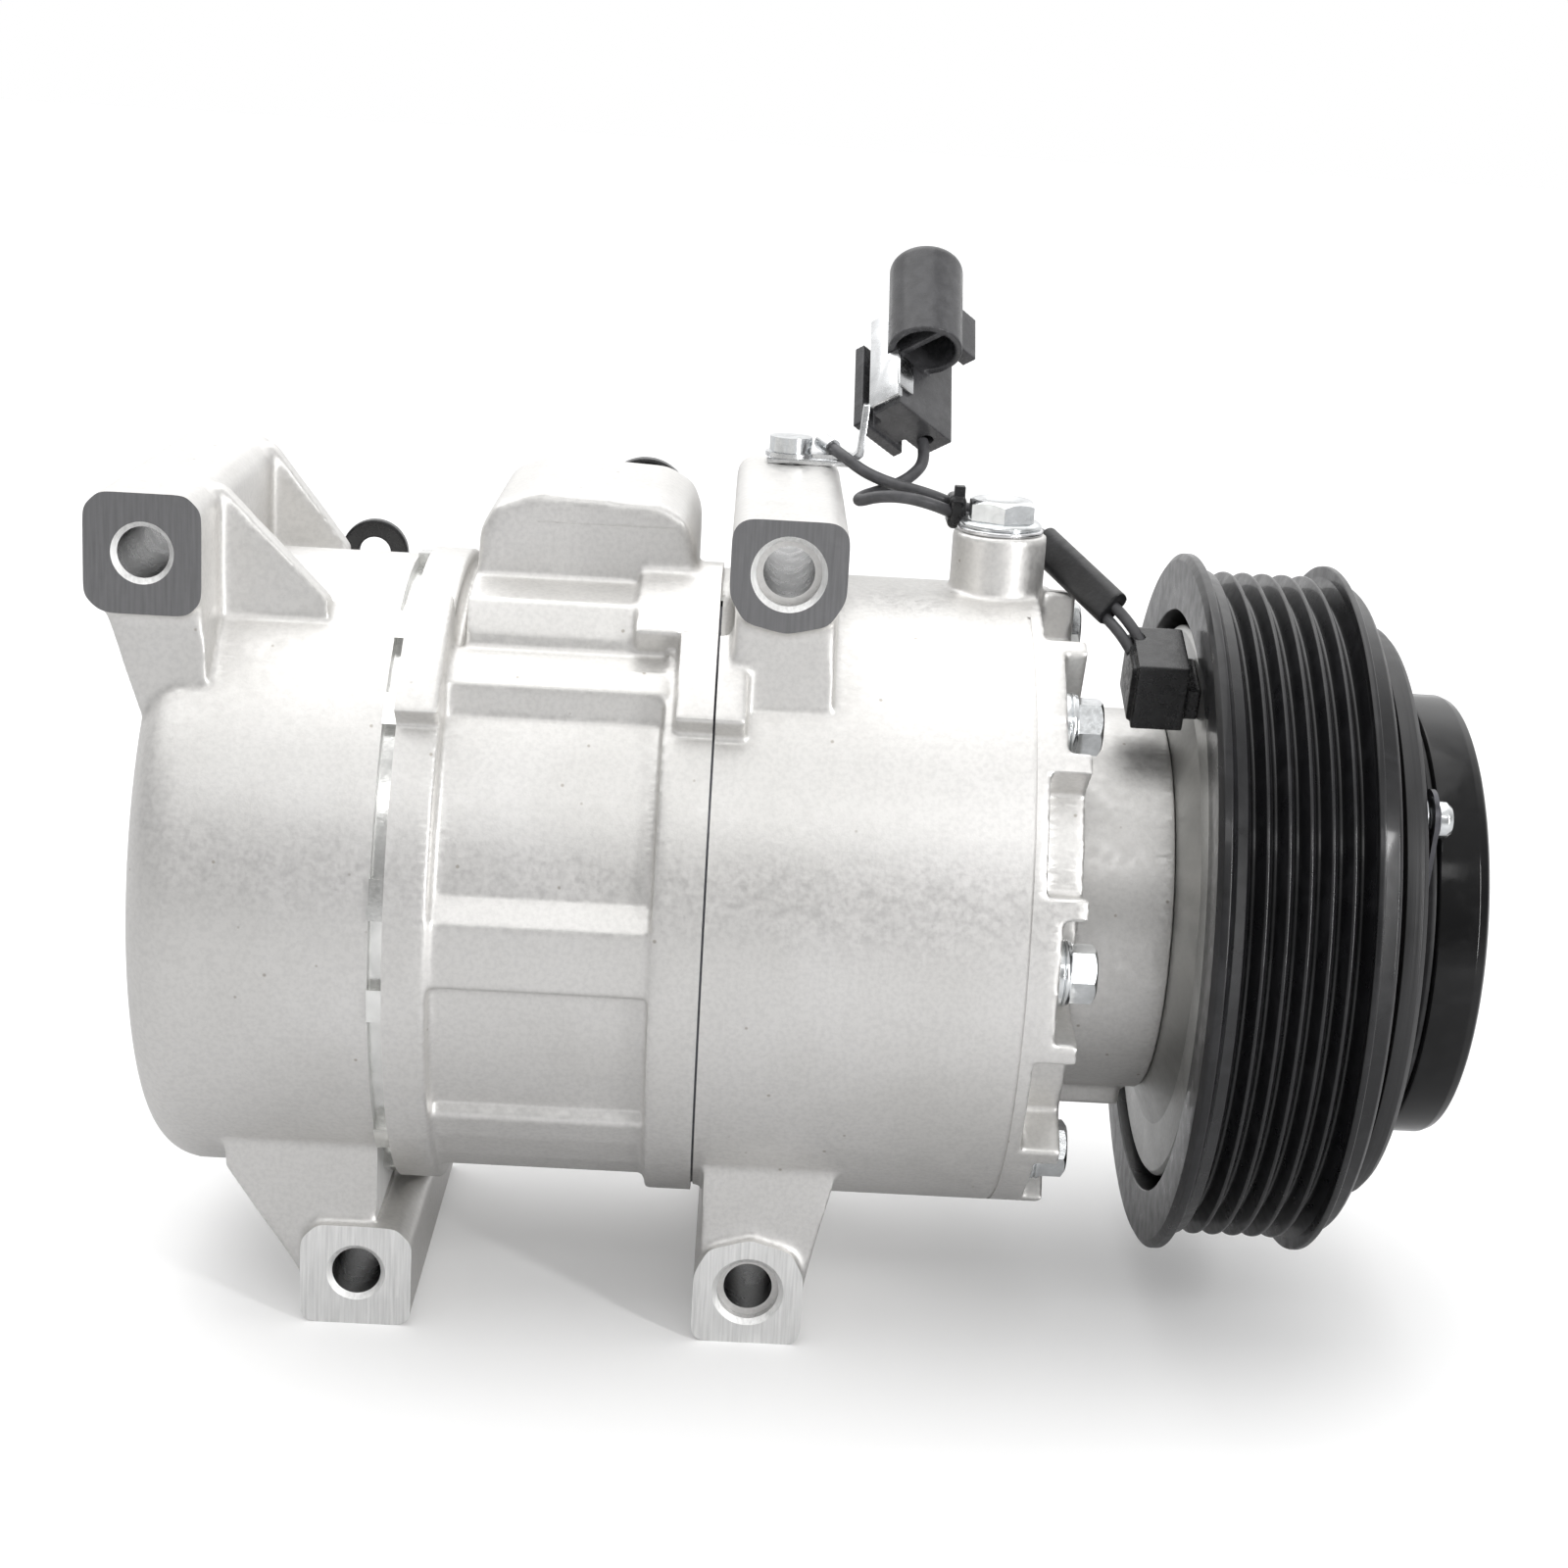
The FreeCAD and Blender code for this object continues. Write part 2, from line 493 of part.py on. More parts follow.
def control_valve():
    node(fuse("control_valve", [
        rod_y("valve_stem", "valve_x", "valve_z", 1, 20, 7.0),
        rod_y("valve_body", "valve_x", "valve_z", 20, 24, 8.9),
        rod_y("valve_solenoid", "valve_x", "valve_z", 45.2, 9, 7.4),
        block("valve_socket", ("valve_x - 4", 53, "valve_z - 3"), ("valve_x + 4", 57.5, "valve_z + 3"))]),
        "control_valve")
    node(group("valve_seals", [
        cut(f"valve_seal_{i}", rod_y(f"valve_seal_outer_{i}", "valve_x", "valve_z", start, 1.6, 8.95),
            [rod_y(f"valve_seal_inner_{i}", "valve_x", "valve_z", f"{start} - 1", 4, 7.05)])
        for i, start in enumerate((6, 12))]), "valve_seals")
    node(cut("valve_snap_ring", rod_y("valve_ring_outer", "valve_x", "valve_z", 44.1, 1.0, 8.9),
             [rod_y("valve_ring_inner", "valve_x", "valve_z", 43, 4, 7.6),
              block("valve_ring_gap", ("valve_x - 2", 43, "valve_z"), ("valve_x + 2", 47, "valve_z + 12"))]),
         "valve_snap_ring")


# ---------------------------------------------------------------- drive inside

def pistons():
    bodies, shoes = [], []
    for i in range(BOLTS):
        degrees = value(f"{bolt_angle(i)} + {STEP / 2}")
        turn = FreeCAD.Rotation(FreeCAD.Vector(1, 0, 0), -(degrees - 90)) * ALONG_Z
        circle, swash, half = value("cylinder_circle"), value("swash_x"), value("swash_half")
        head = Part.makeCylinder(value("piston_radius"), 47, FreeCAD.Vector(swash - 57.5, 0, circle),
                                 FreeCAD.Vector(1, 0, 0))
        bridge = Part.makeBox(27, 12, 3.4, FreeCAD.Vector(swash - 12, -6, 39.7))
        web = Part.makeCylinder(8, 4.5, FreeCAD.Vector(swash + 10.3, 0, circle), FreeCAD.Vector(1, 0, 0))
        strap = Part.makeBox(4.5, 12, 8, FreeCAD.Vector(swash + 10.3, -6, 35))
        piston = head.fuse([bridge, web, strap]).removeSplitter()
        ball = Part.makeSphere(6.0, FreeCAD.Vector(swash - half - 0.1, 0, circle))
        rear = ball.common(Part.makeBox(8, 20, 20, FreeCAD.Vector(swash - half - 8.1, -10, circle - 10)))
        ball = Part.makeSphere(6.0, FreeCAD.Vector(swash + half + 0.1, 0, circle))
        front = ball.common(Part.makeBox(8, 20, 20, FreeCAD.Vector(swash + half + 0.1, -10, circle - 10)))
        for shape, store in ((piston, bodies), (rear, shoes), (front, shoes)):
            moved = shape.copy()
            moved.rotate(FreeCAD.Vector(), FreeCAD.Vector(1, 0, 0), turn.Angle * 180 / math.pi * turn.Axis.x)
            store.append(moved)
    node(made("pistons", Part.makeCompound(bodies)), "pistons")
    node(made("piston_shoes", Part.makeCompound(shoes)), "piston_shoes")


def drive():
    shaft = "shaft_radius"
    node(turned("drive_shaft", [
        (-145, 0), (33, 0), (33, 4), ("hub_front - 3.5", 4), ("hub_front - 3.5", 7), (12.4, 7), (12.4, 8),
        (-36, 8), (-36, shaft), (-145, shaft)]), "drive_shaft")
    plate = ring_x("lug_disc", "crank_front - 12", 10.9, 36, shaft)
    arms = [block(f"lug_arm_{i}", ("crank_front - 23", y, 12), ("crank_front - 11", f"{y} + 2.6", 19.5))
            for i, y in enumerate((-8, 5.4))]
    pin_hole = rod_y("lug_pin_hole", "swash_x + 9", 16, -12, 24, 1.85)
    node(cut("lug_plate", fuse("lug_blank", [plate] + arms), [pin_hole]), "lug_plate")
    disc = rod_x("swash_disc", "swash_x - swash_half", "2 * swash_half", "swash_radius")
    ear = block("swash_ear", ("swash_x + 3", -5.2, 12), ("swash_x + 11", 5.2, 19.5))
    node(cut("swash_plate", fuse("swash_blank", [disc, ear]), [
        rod_x("swash_bore", "swash_x - 10", 24, shaft),
        rod_y("swash_pin_hole", "swash_x + 9", 16, -12, 24, 1.85)]), "swash_plate")
    node(rod_y("hinge_pin", "swash_x + 9", 16, -8, 16, 1.8), "hinge_pin")

    turns, pitch, radius = 6, 4.2, 10.8
    helix = Part.makeHelix(pitch, turns * pitch, radius)
    start = FreeCAD.Vector(radius, 0, 0)
    section = Part.Wire([Part.makeCircle(0.9, start, FreeCAD.Vector(0, 1, pitch / (2 * math.pi * radius)))])
    coil = Part.Wire(helix).makePipeShell([section], True, False)
    rear_of_swash = FreeCAD.Vector(value("swash_x - swash_half") - turns * pitch - 0.9, 0, 0)
    node(made("destroke_spring", coil, FreeCAD.Placement(rear_of_swash, ALONG_X)), "destroke_spring")


def bearings():
    pieces = [
        ("front_radial_bearing", "crank_front + 2.5", 12, 15.95, "shaft_radius + 0.05"),
        ("front_thrust_bearing", "crank_front - 1", 2.9, 20, "shaft_radius + 0.3"),
        ("rear_radial_bearing", -141, 12, 12.95, "shaft_radius + 0.05"),
        ("rear_thrust_bearing", -128.8, 2.5, 12.9, "shaft_radius + 0.3"),
        ("shaft_seal", "nose_front - 14", 9, 12.95, 8.05),
        ("seal_snap_ring", "nose_front - 4.8", 1.2, 12.95, 10),
    ]
    for label, start, length, outer, inner in pieces:
        node(ring_x(label, start, length, outer, inner), label)


# ---------------------------------------------------------------- clutch

def pulley():
    """Six V grooves between two rims, a web with the friction face, and a hub round the bearing."""
    rear_crest = "-3 * rib_pitch - 1.6"
    outline = [("pulley_back", "cavity_radius"), ("pulley_back", "back_rim_radius - 1.2"),
               ("pulley_back + 0.8", "back_rim_radius"), ("pulley_back + 2.2", "back_rim_radius"),
               (rear_crest, "crest_radius + 0.6")]
    for i in range(6):
        middle = f"({i} - 2.5) * rib_pitch"
        outline += [(f"{middle} - 1.48", "crest_radius"), (f"{middle} - 0.36", "root_radius"),
                    (f"{middle} + 0.36", "root_radius"), (f"{middle} + 1.48", "crest_radius")]
    outline += [
        ("3 * rib_pitch - 0.2", "front_rim_radius"), ("3 * rib_pitch + 1.0", "front_rim_radius"),
        ("3 * rib_pitch + 1.3", "front_rim_radius - 3.2"), ("pulley_front - 0.6", "front_rim_radius - 3.4"),
        ("pulley_front", "front_rim_radius - 4"), ("pulley_front", "bearing_outer + 6"),
        ("pulley_front - 2", "bearing_outer + 3.8"), ("bearing_half + 1.5", "bearing_outer + 3.6"),
        ("bearing_half + 1.5", "bearing_outer"), ("-bearing_half - 0.5", "bearing_outer"),
        ("-bearing_half - 0.5", "shell_inner - 2"), ("7.5", "shell_inner - 2"), ("7.5", "cavity_radius"),
    ]
    body = turned("pulley_turned", outline)
    slots = [ring_sector(f"flux_slot_{i}", 5, 14, 45.5, 43.2, 120 * i - 42, 120 * i + 42) for i in range(3)]
    node(cut("pulley", body, slots), "pulley")


def pulley_bearing():
    half = "bearing_half"
    node(ring_x("bearing_outer_race", "-" + half, "2 * " + half, "bearing_outer", "bearing_outer - 2.4"),
         "bearing_outer_race")
    node(ring_x("bearing_inner_race", "-" + half, "2 * " + half, "bearing_inner + 2.4", "bearing_inner"),
         "bearing_inner_race")
    balls = []
    for row, x in enumerate((-4.2, 4.2)):
        for i in range(16):
            ball = doc.addObject("Part::Sphere", f"ball_{row}_{i}")
            ball.Radius = 3.0
            y, z = around("(bearing_inner + bearing_outer) / 2", i * 22.5)
            balls.append(place(ball, x, y, z))
    node(group("bearing_balls", balls), "bearing_balls")
    shields = [ring_x(f"shield_{i}", start, 0.8, "bearing_outer - 2.5", "bearing_inner + 2.4")
               for i, start in enumerate((-9.6, 8.8))]
    node(group("bearing_shields", shields), "bearing_shields")
    node(ring_x("bearing_snap_ring", half + " - 1.1 + 1.1", 0.5, 22.3, 18.95), "bearing_snap_ring")


def field_coil():
    back = "pulley_back + 1.1"
    node(turned("coil_shell", [
        ("nose_front", "bearing_inner + 0.1"), ("nose_front + 1.9", "bearing_inner + 0.1"),
        ("nose_front + 1.9", 33), (back + " + 2", "shell_inner"), (5, "shell_inner"), (5, "shell_inner + 2"),
        (back + " + 2.4", "shell_inner + 2"), (back + " + 2.4", "shell_outer - 2"), (5, "shell_outer - 2"),
        (5, "shell_outer"), (back + " + 0.8", "shell_outer"), (back, "shell_outer - 0.8"),
        (back, "shell_inner + 4"), ("nose_front", 34)]), "coil_shell")
    node(ring_x("coil_winding", back + " + 2.4", 15.5, "shell_outer - 2", "shell_inner + 2"), "coil_winding")
    case = Part.makeBox(9.0, 14, 12.5, FreeCAD.Vector(-26.0, -7.0, 40.5))
    lid = Part.makeBox(1.0, 12, 10.5, FreeCAD.Vector(-26.8, -6.0, 41.5))
    foot = Part.makeBox(3.4, 11, 6, FreeCAD.Vector(-17.4, -5.5, 42))
    shell = Part.makeCylinder(value("shell_outer") + 0.05, 10, FreeCAD.Vector(-14.5, 0, 0),
                              FreeCAD.Vector(1, 0, 0))
    box = case.fuse([lid, foot]).cut(shell)
    box.rotate(FreeCAD.Vector(), FreeCAD.Vector(1, 0, 0), 18)
    box = less_leads(box.removeSplitter(), BOX_LEADS, value("wire") * 0.45)
    node(made("coil_terminal_box", box), "coil_terminal_box")


def armature():
    gap = "pulley_front + air_gap"
    plate = turned("armature_turned", [
        (gap, 24), (gap, "armature_radius - 2.3"), (gap + " + 1.8", "armature_radius - 2.3"),
        (gap + " + 1.8", "armature_radius"), ("armature_front - 1", "armature_radius"),
        ("armature_front", "armature_radius - 1"), ("armature_front", 24)])
    slots = [ring_sector(f"armature_slot_{i}", 14, 10, 39.5, 37.2, 120 * i + 50, 120 * i + 130)
             for i in range(3)]
    node(cut("armature_plate", plate, slots), "armature_plate")
    rivets = []
    for i in range(3):
        y, z = around(45.2, 120 * i + 37.5)
        rivets.append(fuse(f"armature_rivet_{i}", [
            rod_x(f"rivet_collar_{i}", "armature_front", "spring_back - armature_front - 0.5", 4, y, z),
            rod_x(f"rivet_shank_{i}", "armature_front", 4, 2, y, z),
            rod_x(f"rivet_head_{i}", "spring_back + 1.3", 2.9, 3.2, y, z)]))
    node(group("armature_rivets", rivets), "armature_rivets")


def hub():
    node(turned("clutch_hub", [
        (12.6, 7.05), (12.6, 12.5), ("spring_back - 0.6", 12.5), ("spring_back + 0.8", 16),
        ("spring_back + 0.8", 38.5), ("hub_front - 0.8", 39.4), ("hub_front", 39.4), ("hub_front", 7.05)]),
        "clutch_hub")
    springs, rivets = [], []
    for i in range(3):
        outer = 120 * i + 37.5
        inner = outer - 62
        (y1, z1), (y2, z2) = around(45.2, outer), around(31, inner)
        a = FreeCAD.Vector(0, value(y1), value(z1))
        b = FreeCAD.Vector(0, value(y2), value(z2))
        back, thick, half = value("spring_back"), 0.8, 5.2
        along = (b - a).normalize()
        side = FreeCAD.Vector(0, -along.z, along.y) * half
        corners = [a + side, b + side, b - side, a - side]
        strip = Part.Face(Part.makePolygon(corners + corners[:1])).extrude(FreeCAD.Vector(thick, 0, 0))
        ends = [Part.makeCylinder(half, thick, end, FreeCAD.Vector(1, 0, 0)) for end in (a, b)]
        forward = FreeCAD.Vector(1, 0, 0)
        holes = [Part.makeCylinder(2.45, 4, end - forward, forward) for end in (a, b)]
        leaf = strip.fuse(ends).removeSplitter().cut(Part.makeCompound(holes))
        leaf.translate(FreeCAD.Vector(back, 0, 0))
        springs.append(leaf)
        rivets.append(fuse(f"hub_rivet_{i}", [
            rod_x(f"hub_rivet_tail_{i}", "spring_back - 1.2", 1.2, 3.4, y2, z2),
            rod_x(f"hub_rivet_shank_{i}", "spring_back - 1.2", 2, 2.4, y2, z2)]))
    node(made("leaf_springs", Part.makeCompound(springs)), "leaf_springs")
    node(group("hub_rivets", rivets), "hub_rivets")
    front = "cup_front"
    node(turned("hub_cover", [
        ("hub_front", "cup_radius - 2.4"), ("hub_front", "cup_radius - 0.4"),
        ("hub_front + 0.5", "cup_radius"),
        (front + " - 2", "cup_radius"), (front + " - 0.6", "cup_radius - 0.7"), (front, "cup_radius - 2.4"),
        (front, 26), (front + " - 2.2", 24), (front + " - 2.2", 12), (front + " - 4", 12),
        (front + " - 4", 25),
        (front + " - 2", 27), (front + " - 2", "cup_radius - 2.6")]), "hub_cover")
    node(ring_x("hub_washer", "hub_front", 1.2, 8.5, 4.1), "hub_washer")
    node(cut("hub_nut", hexagon_rod("nut_hex", ALONG_X, "hub_front + 1.2", 0, 0, 6, 14),
             [rod_x("nut_bore", "hub_front", 12, 4.05)]), "hub_nut")
    node(ring_x("gap_shims", 11.9, 0.7, 11.5, 8.1), "gap_shims")


# ---------------------------------------------------------------- lead, strap and connector

def tube(name, points, radius):
    """A round tube along straight runs joined by tangent arcs as large as the runs allow."""
    points = [FreeCAD.Vector(*p) for p in points]
    edges, here, bends = [], points[0], []
    for before, corner, after in zip(points, points[1:], points[2:]):
        inward, outward = (corner - before), (after - corner)
        run = min(inward.Length, outward.Length)
        inward.normalize()
        outward.normalize()
        half_turn = inward.getAngle(outward) / 2
        reach = 0.45 * run
        bends.append(round(reach / math.tan(half_turn), 1))
        first, last = corner - inward * reach, corner + outward * reach
        chord = (outward - inward).normalize()
        sag = reach / math.tan(half_turn) * (1 / math.cos(half_turn) - 1)
        middle = corner + chord * sag
        edges.append(Part.LineSegment(here, first).toShape())
        edges.append(Part.Arc(first, middle, last).toShape())
        here = last
    edges.append(Part.LineSegment(here, points[-1]).toShape())
    path = Part.Wire(edges)
    start = (points[1] - points[0]).normalize()
    section = Part.Wire([Part.makeCircle(radius, points[0], start)])
    solid = path.makePipeShell([section], True, False)
    expected = math.pi * radius ** 2 * path.Length
    print(name, "radii", bends, "length", round(path.Length, 1), "ratio", round(solid.Volume / expected, 4))
    return solid


COIL_LEAD = [(-62.4, 27.6, 77.6), (-61.6, 24.5, 74.6), (-64.4, 20.5, 71.8), (-68.9, 17.0, 70.0),
             (-73.4, 13.2, 69.1), (-74.6, 9.2, 68.6), (-70.7, 7.0, 70.2), (-65.9, 6.2, 70.4),
             (-61.0, 6.6, 69.3), (-56.8, 9.4, 67.4), (-50.6, 12.6, 65.2), (-45.0, 11.6, 63.2),
             (-40.5, 7.0, 61.4)]
GROUND_LEAD = [(-79.8, 23.4, 76.4), (-77.2, 19.0, 75.4), (-73.5, 16.6, 73.0), (-68.7, 13.6, 71.6),
               (-63.3, 11.0, 70.8), (-59.4, 10.4, 69.8), (-56.1, 12.4, 68.2), (-49.8, 15.0, 66.8),
               (-43.6, 13.2, 65.6), (-38.8, 7.0, 63.6)]
BOX_LEADS = [[(-29.9, -8.6, 56.2), (-26.6, -11.0, 53.8), (-24.6, -13.2, 50.4)],
             [(-31.0, -8.6, 54.0), (-28.0, -12.0, 51.8), (-26.2, -14.0, 48.8)]]
SLEEVE_START = FreeCAD.Vector(-40.8, 8.9, 63.2)
SLEEVE_END = FreeCAD.Vector(-29.5, -9.8, 55.3)
SCREW_X = -86.7
CONNECTOR_CORNER = FreeCAD.Vector(-67.4, 20, 85.6)
LEAN_BACK = FreeCAD.Rotation(FreeCAD.Vector(1, 0, 0), -45)
CONNECTOR_TURN = LEAN_BACK * FreeCAD.Rotation(FreeCAD.Vector(0, 0, 1), 47)


def connector():
    """The plug housing leans back 45 degrees; its mouth and lead exit face down and forward."""
    where = FreeCAD.Placement(CONNECTOR_CORNER, CONNECTOR_TURN)
    up = FreeCAD.Vector(0, 0, 1)
    body = Part.makeBox(15.5, 6.4, 20, FreeCAD.Vector(0, 0, 0))
    rail = Part.makeBox(12, 2.2, 18, FreeCAD.Vector(-0.6, 8.4, -1))
    web = Part.makeBox(7, 2.2, 16, FreeCAD.Vector(2.5, 6.3, 0))
    axis = FreeCAD.Vector(2.6, -3.6, 0)
    cup = Part.makeCylinder(6.85, 20.5, axis + up * 11.5, up)
    rim = [e for e in cup.Edges if abs(e.BoundBox.ZMin - 32.0) < 0.01 and e.BoundBox.ZLength < 0.01]
    cup = cup.makeFillet(2.2, rim)
    cup = cup.cut(Part.makeBox(6, 16, 11.2, FreeCAD.Vector(-6, -12, 10)))
    latch = Part.makeBox(4.4, 3.0, 9.5, FreeCAD.Vector(8.6, -7.4, 14.2))
    housing = body.fuse([rail, web, cup, latch]).removeSplitter()
    socket = Part.makeCylinder(5.5, 13, axis + up * 10.5, up)
    socket = socket.cut(Part.makeBox(9, 14, 20, FreeCAD.Vector(-7.8, -10, 8)))
    lead_hole = Part.makeCylinder(1.2, 6, FreeCAD.Vector(12.0, 3.2, -1), up)
    pin_hole = Part.makeBox(2.0, 0.9, 8, axis + FreeCAD.Vector(-1.0, -0.45, 23))
    housing = housing.cut(Part.makeCompound([socket, lead_hole, pin_hole]))
    pin = Part.makeBox(1.8, 0.7, 15, axis + FreeCAD.Vector(-0.9, -0.35, 14.5))
    for label, shape in (("connector_housing", housing), ("connector_pin", pin)):
        node(made(label, shape, where), label)

    plate = Part.makeBox(1.2, 6.8, 20, FreeCAD.Vector(-1.2, -0.45, 1))
    lip = Part.makeBox(4.2, 0.8, 8.3, FreeCAD.Vector(-1.2, -0.85, 3))
    plate = plate.fuse(lip)
    plate.Placement = where
    foot = [(-93, 72.9), (-76, 72.9), (-74.7, 74.05), (-75.5, 75.05), (-76.5, 74.1), (-93, 74.1)]
    riser = [(-76, 72.9), (-73.4, 75.2), (-72.7, 84.6), (-73.9, 84.6), (-74.6, 76), (-76.5, 74.1)]
    runs = []
    for outline, start, width in ((foot, 21.0, 6.8), (riser, 20.0, 3.2)):
        corners = [FreeCAD.Vector(x, start, z) for x, z in outline]
        run = Part.Face(Part.makePolygon(corners + corners[:1])).extrude(FreeCAD.Vector(0, width, 0))
        runs.append(run)
    strap = runs[0].fuse(runs[1])
    placed = housing.copy()
    placed.Placement = where
    strap = strap.fuse(plate).removeSplitter().cut(placed)
    strap = strap.cut(Part.makeCylinder(2.3, 6, FreeCAD.Vector(SCREW_X, 24, 71), up))
    node(made("connector_bracket", strap), "connector_bracket")

    ring = Part.makeCylinder(4.6, 0.8, FreeCAD.Vector(SCREW_X, 24, 74.1), up)
    tongue = Part.makeBox(6, 3.4, 0.8, FreeCAD.Vector(-83.6, 21.8, 74.1))
    way = FreeCAD.Vector(*GROUND_LEAD[1]) - FreeCAD.Vector(*GROUND_LEAD[0])
    barrel = Part.makeCylinder(1.6, 4.0, FreeCAD.Vector(*GROUND_LEAD[0]) - way.normalize() * 2.4, way)
    terminal = ring.fuse([tongue, barrel]).removeSplitter()
    lead = Part.makeCylinder(value("wire") / 2 + 0.02, 12, FreeCAD.Vector(*GROUND_LEAD[0]), way)
    screw_hole = Part.makeCylinder(2.3, 6, FreeCAD.Vector(SCREW_X, 24, 71), up)
    terminal = terminal.cut(Part.makeCompound([screw_hole, lead]))
    node(made("ground_terminal", terminal), "ground_terminal")
    head = Part.makeCylinder(3.9, 2.8, FreeCAD.Vector(SCREW_X, 24, 74.9), up)
    shank = Part.makeCylinder(2.0, 5.5, FreeCAD.Vector(SCREW_X, 24, 69.4), up)
    node(made("ground_screw", head.fuse(shank).removeSplitter()), "ground_screw")


def less_leads(shape, routes, radius):
    """A shape with a way cut through it for each lead."""
    for route in routes:
        shape = shape.cut(tube("way", route, radius + 0.03))
    return shape


def lead():
    radius = value("wire") / 2
    routes = [COIL_LEAD, GROUND_LEAD]
    for label, route in zip(("coil_lead", "ground_lead"), routes):
        node(made(label, tube(label, route, radius)), label)
    leads = [tube(f"box_lead_{i}", route, radius * 0.9) for i, route in enumerate(BOX_LEADS)]
    node(made("box_leads", Part.makeCompound(leads)), "box_leads")

    along = SLEEVE_END - SLEEVE_START
    across = FreeCAD.Vector(0.35, 0.35, 0.87).normalize()
    flat = Part.makeBox(along.Length, 3.4, 6.6, FreeCAD.Vector(0, -1.7, -3.3))
    flat = flat.makeFillet(1.5, [edge for edge in flat.Edges if edge.BoundBox.XLength > 5])
    turn = FreeCAD.Rotation(along, FreeCAD.Vector(), across, "XZY")
    flat.Placement = FreeCAD.Placement(SLEEVE_START, turn)
    flat = less_leads(less_leads(flat, routes, radius), BOX_LEADS, radius * 0.9)
    node(made("lead_sleeve", flat), "lead_sleeve")

    clip = Part.makeBox(3.4, 7.4, 6.0, FreeCAD.Vector(-58.2, 7.3, 64.8))
    clip = clip.makeFillet(1.2, clip.Edges)
    clip = clip.fuse(Part.makeBox(2.0, 2.2, 3.4, FreeCAD.Vector(-57.2, 7.9, 69.2)))
    node(made("cable_clip", less_leads(clip, routes, radius)), "cable_clip")


# ---------------------------------------------------------------- build and write

def check_and_write():
    doc.recompute()
    failed = [obj.Name for obj in doc.Objects if {"Invalid", "Error"} & set(obj.State)]
    if failed:
        raise RuntimeError(f"these objects failed: {failed}")
    os.makedirs("parts", exist_ok=True)
    for part in NODES:
        shape = part.Shape
        if shape.isNull() or not shape.isValid() or not shape.Solids:
            raise RuntimeError(f"{part.Label} has no valid solid")
        shape.exportStep(f"parts/{part.Label}.step")
    print(len(NODES), "nodes,", round(sum(part.Shape.Volume for part in NODES) / 1000), "cm3")


for make in (rear_housing, cylinder_block, front_housing, seam_pieces, through_bolts, plug_and_ports,
             control_valve, pistons, drive, bearings, pulley, pulley_bearing, field_coil, armature, hub,
             connector, lead):
    make()
check_and_write()
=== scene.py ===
import json
import math

import bmesh
import bpy
import numpy as np
from mathutils import Matrix, Vector


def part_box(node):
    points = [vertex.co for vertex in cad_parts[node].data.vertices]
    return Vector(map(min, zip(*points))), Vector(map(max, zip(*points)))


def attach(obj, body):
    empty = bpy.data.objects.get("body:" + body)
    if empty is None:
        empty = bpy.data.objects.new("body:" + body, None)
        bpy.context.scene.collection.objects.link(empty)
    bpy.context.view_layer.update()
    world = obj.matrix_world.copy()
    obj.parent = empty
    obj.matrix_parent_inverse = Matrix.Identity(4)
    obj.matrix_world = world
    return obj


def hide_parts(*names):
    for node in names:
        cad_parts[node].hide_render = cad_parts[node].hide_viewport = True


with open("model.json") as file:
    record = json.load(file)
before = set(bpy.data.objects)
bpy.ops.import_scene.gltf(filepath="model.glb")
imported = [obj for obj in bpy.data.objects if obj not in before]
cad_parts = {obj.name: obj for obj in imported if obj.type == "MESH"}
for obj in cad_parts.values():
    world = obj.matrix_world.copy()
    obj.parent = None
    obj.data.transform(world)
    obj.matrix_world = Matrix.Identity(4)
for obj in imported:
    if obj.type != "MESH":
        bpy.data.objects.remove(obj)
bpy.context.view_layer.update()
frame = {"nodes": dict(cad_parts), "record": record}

# Air-conditioning compressor with an electromagnetic clutch.
# Lengths below are millimetres unless a name says otherwise. +X is the shaft, towards the clutch.

NODES = frame["nodes"]
MOUNTS = {mount["name"]: mount for mount in frame["record"]["mounts"]}
MM = 0.001


def low(node):
    """A CAD node's lowest corner, in millimetres."""
    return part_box(node)[0] / MM


def high(node):
    """A CAD node's highest corner, in millimetres."""
    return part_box(node)[1] / MM


FLOOR_Z = low("front_housing").z
EAR_LENGTH = 70.0
EAR_FRONT = MOUNTS["ear_faces"]["pos_m"][1] / MM
EAR_BACK = EAR_FRONT + EAR_LENGTH
EAR_GROWTH = 2.5                    # ears stand this far out until their faces are cut
SLEEVE_RADIUS, SLEEVE_DEPTH = 5.4, 2.5              # counterbores of the front ears
REAR_RADII, BLOCK_RADII, FRONT_RADII = (55.6,), (53.6, 57), (56, 47, 34.5)
REAR_SEAM = low("rear_gasket").x
FRONT_SEAM = high("mid_gasket").x
BOLT_COUNT, BOLT_CIRCLE, FIRST_BOLT = 7, 48.5, 53.0
ARMATURE_BACK = low("armature_plate").x
ARMATURE_FRONT = high("armature_plate").x
COVER_FRONT = high("hub_cover").x
PULLEY_BACK, PULLEY_FRONT = low("pulley").x, high("pulley").x


# ---------------------------------------------------------------- camera, light and floor

def make_camera():
    data = bpy.data.cameras.new("camera")
    data.sensor_width = 36
    data.lens = 61.74
    data.clip_start = 0.01
    camera = bpy.data.objects.new("camera", data)
    bpy.context.scene.collection.objects.link(camera)
    camera.location = Vector((-94.10, -469.95, 146.27)) * MM
    camera.rotation_euler = [math.radians(angle) for angle in (74.70, -3.261, -0.245)]
    bpy.context.scene.camera = camera


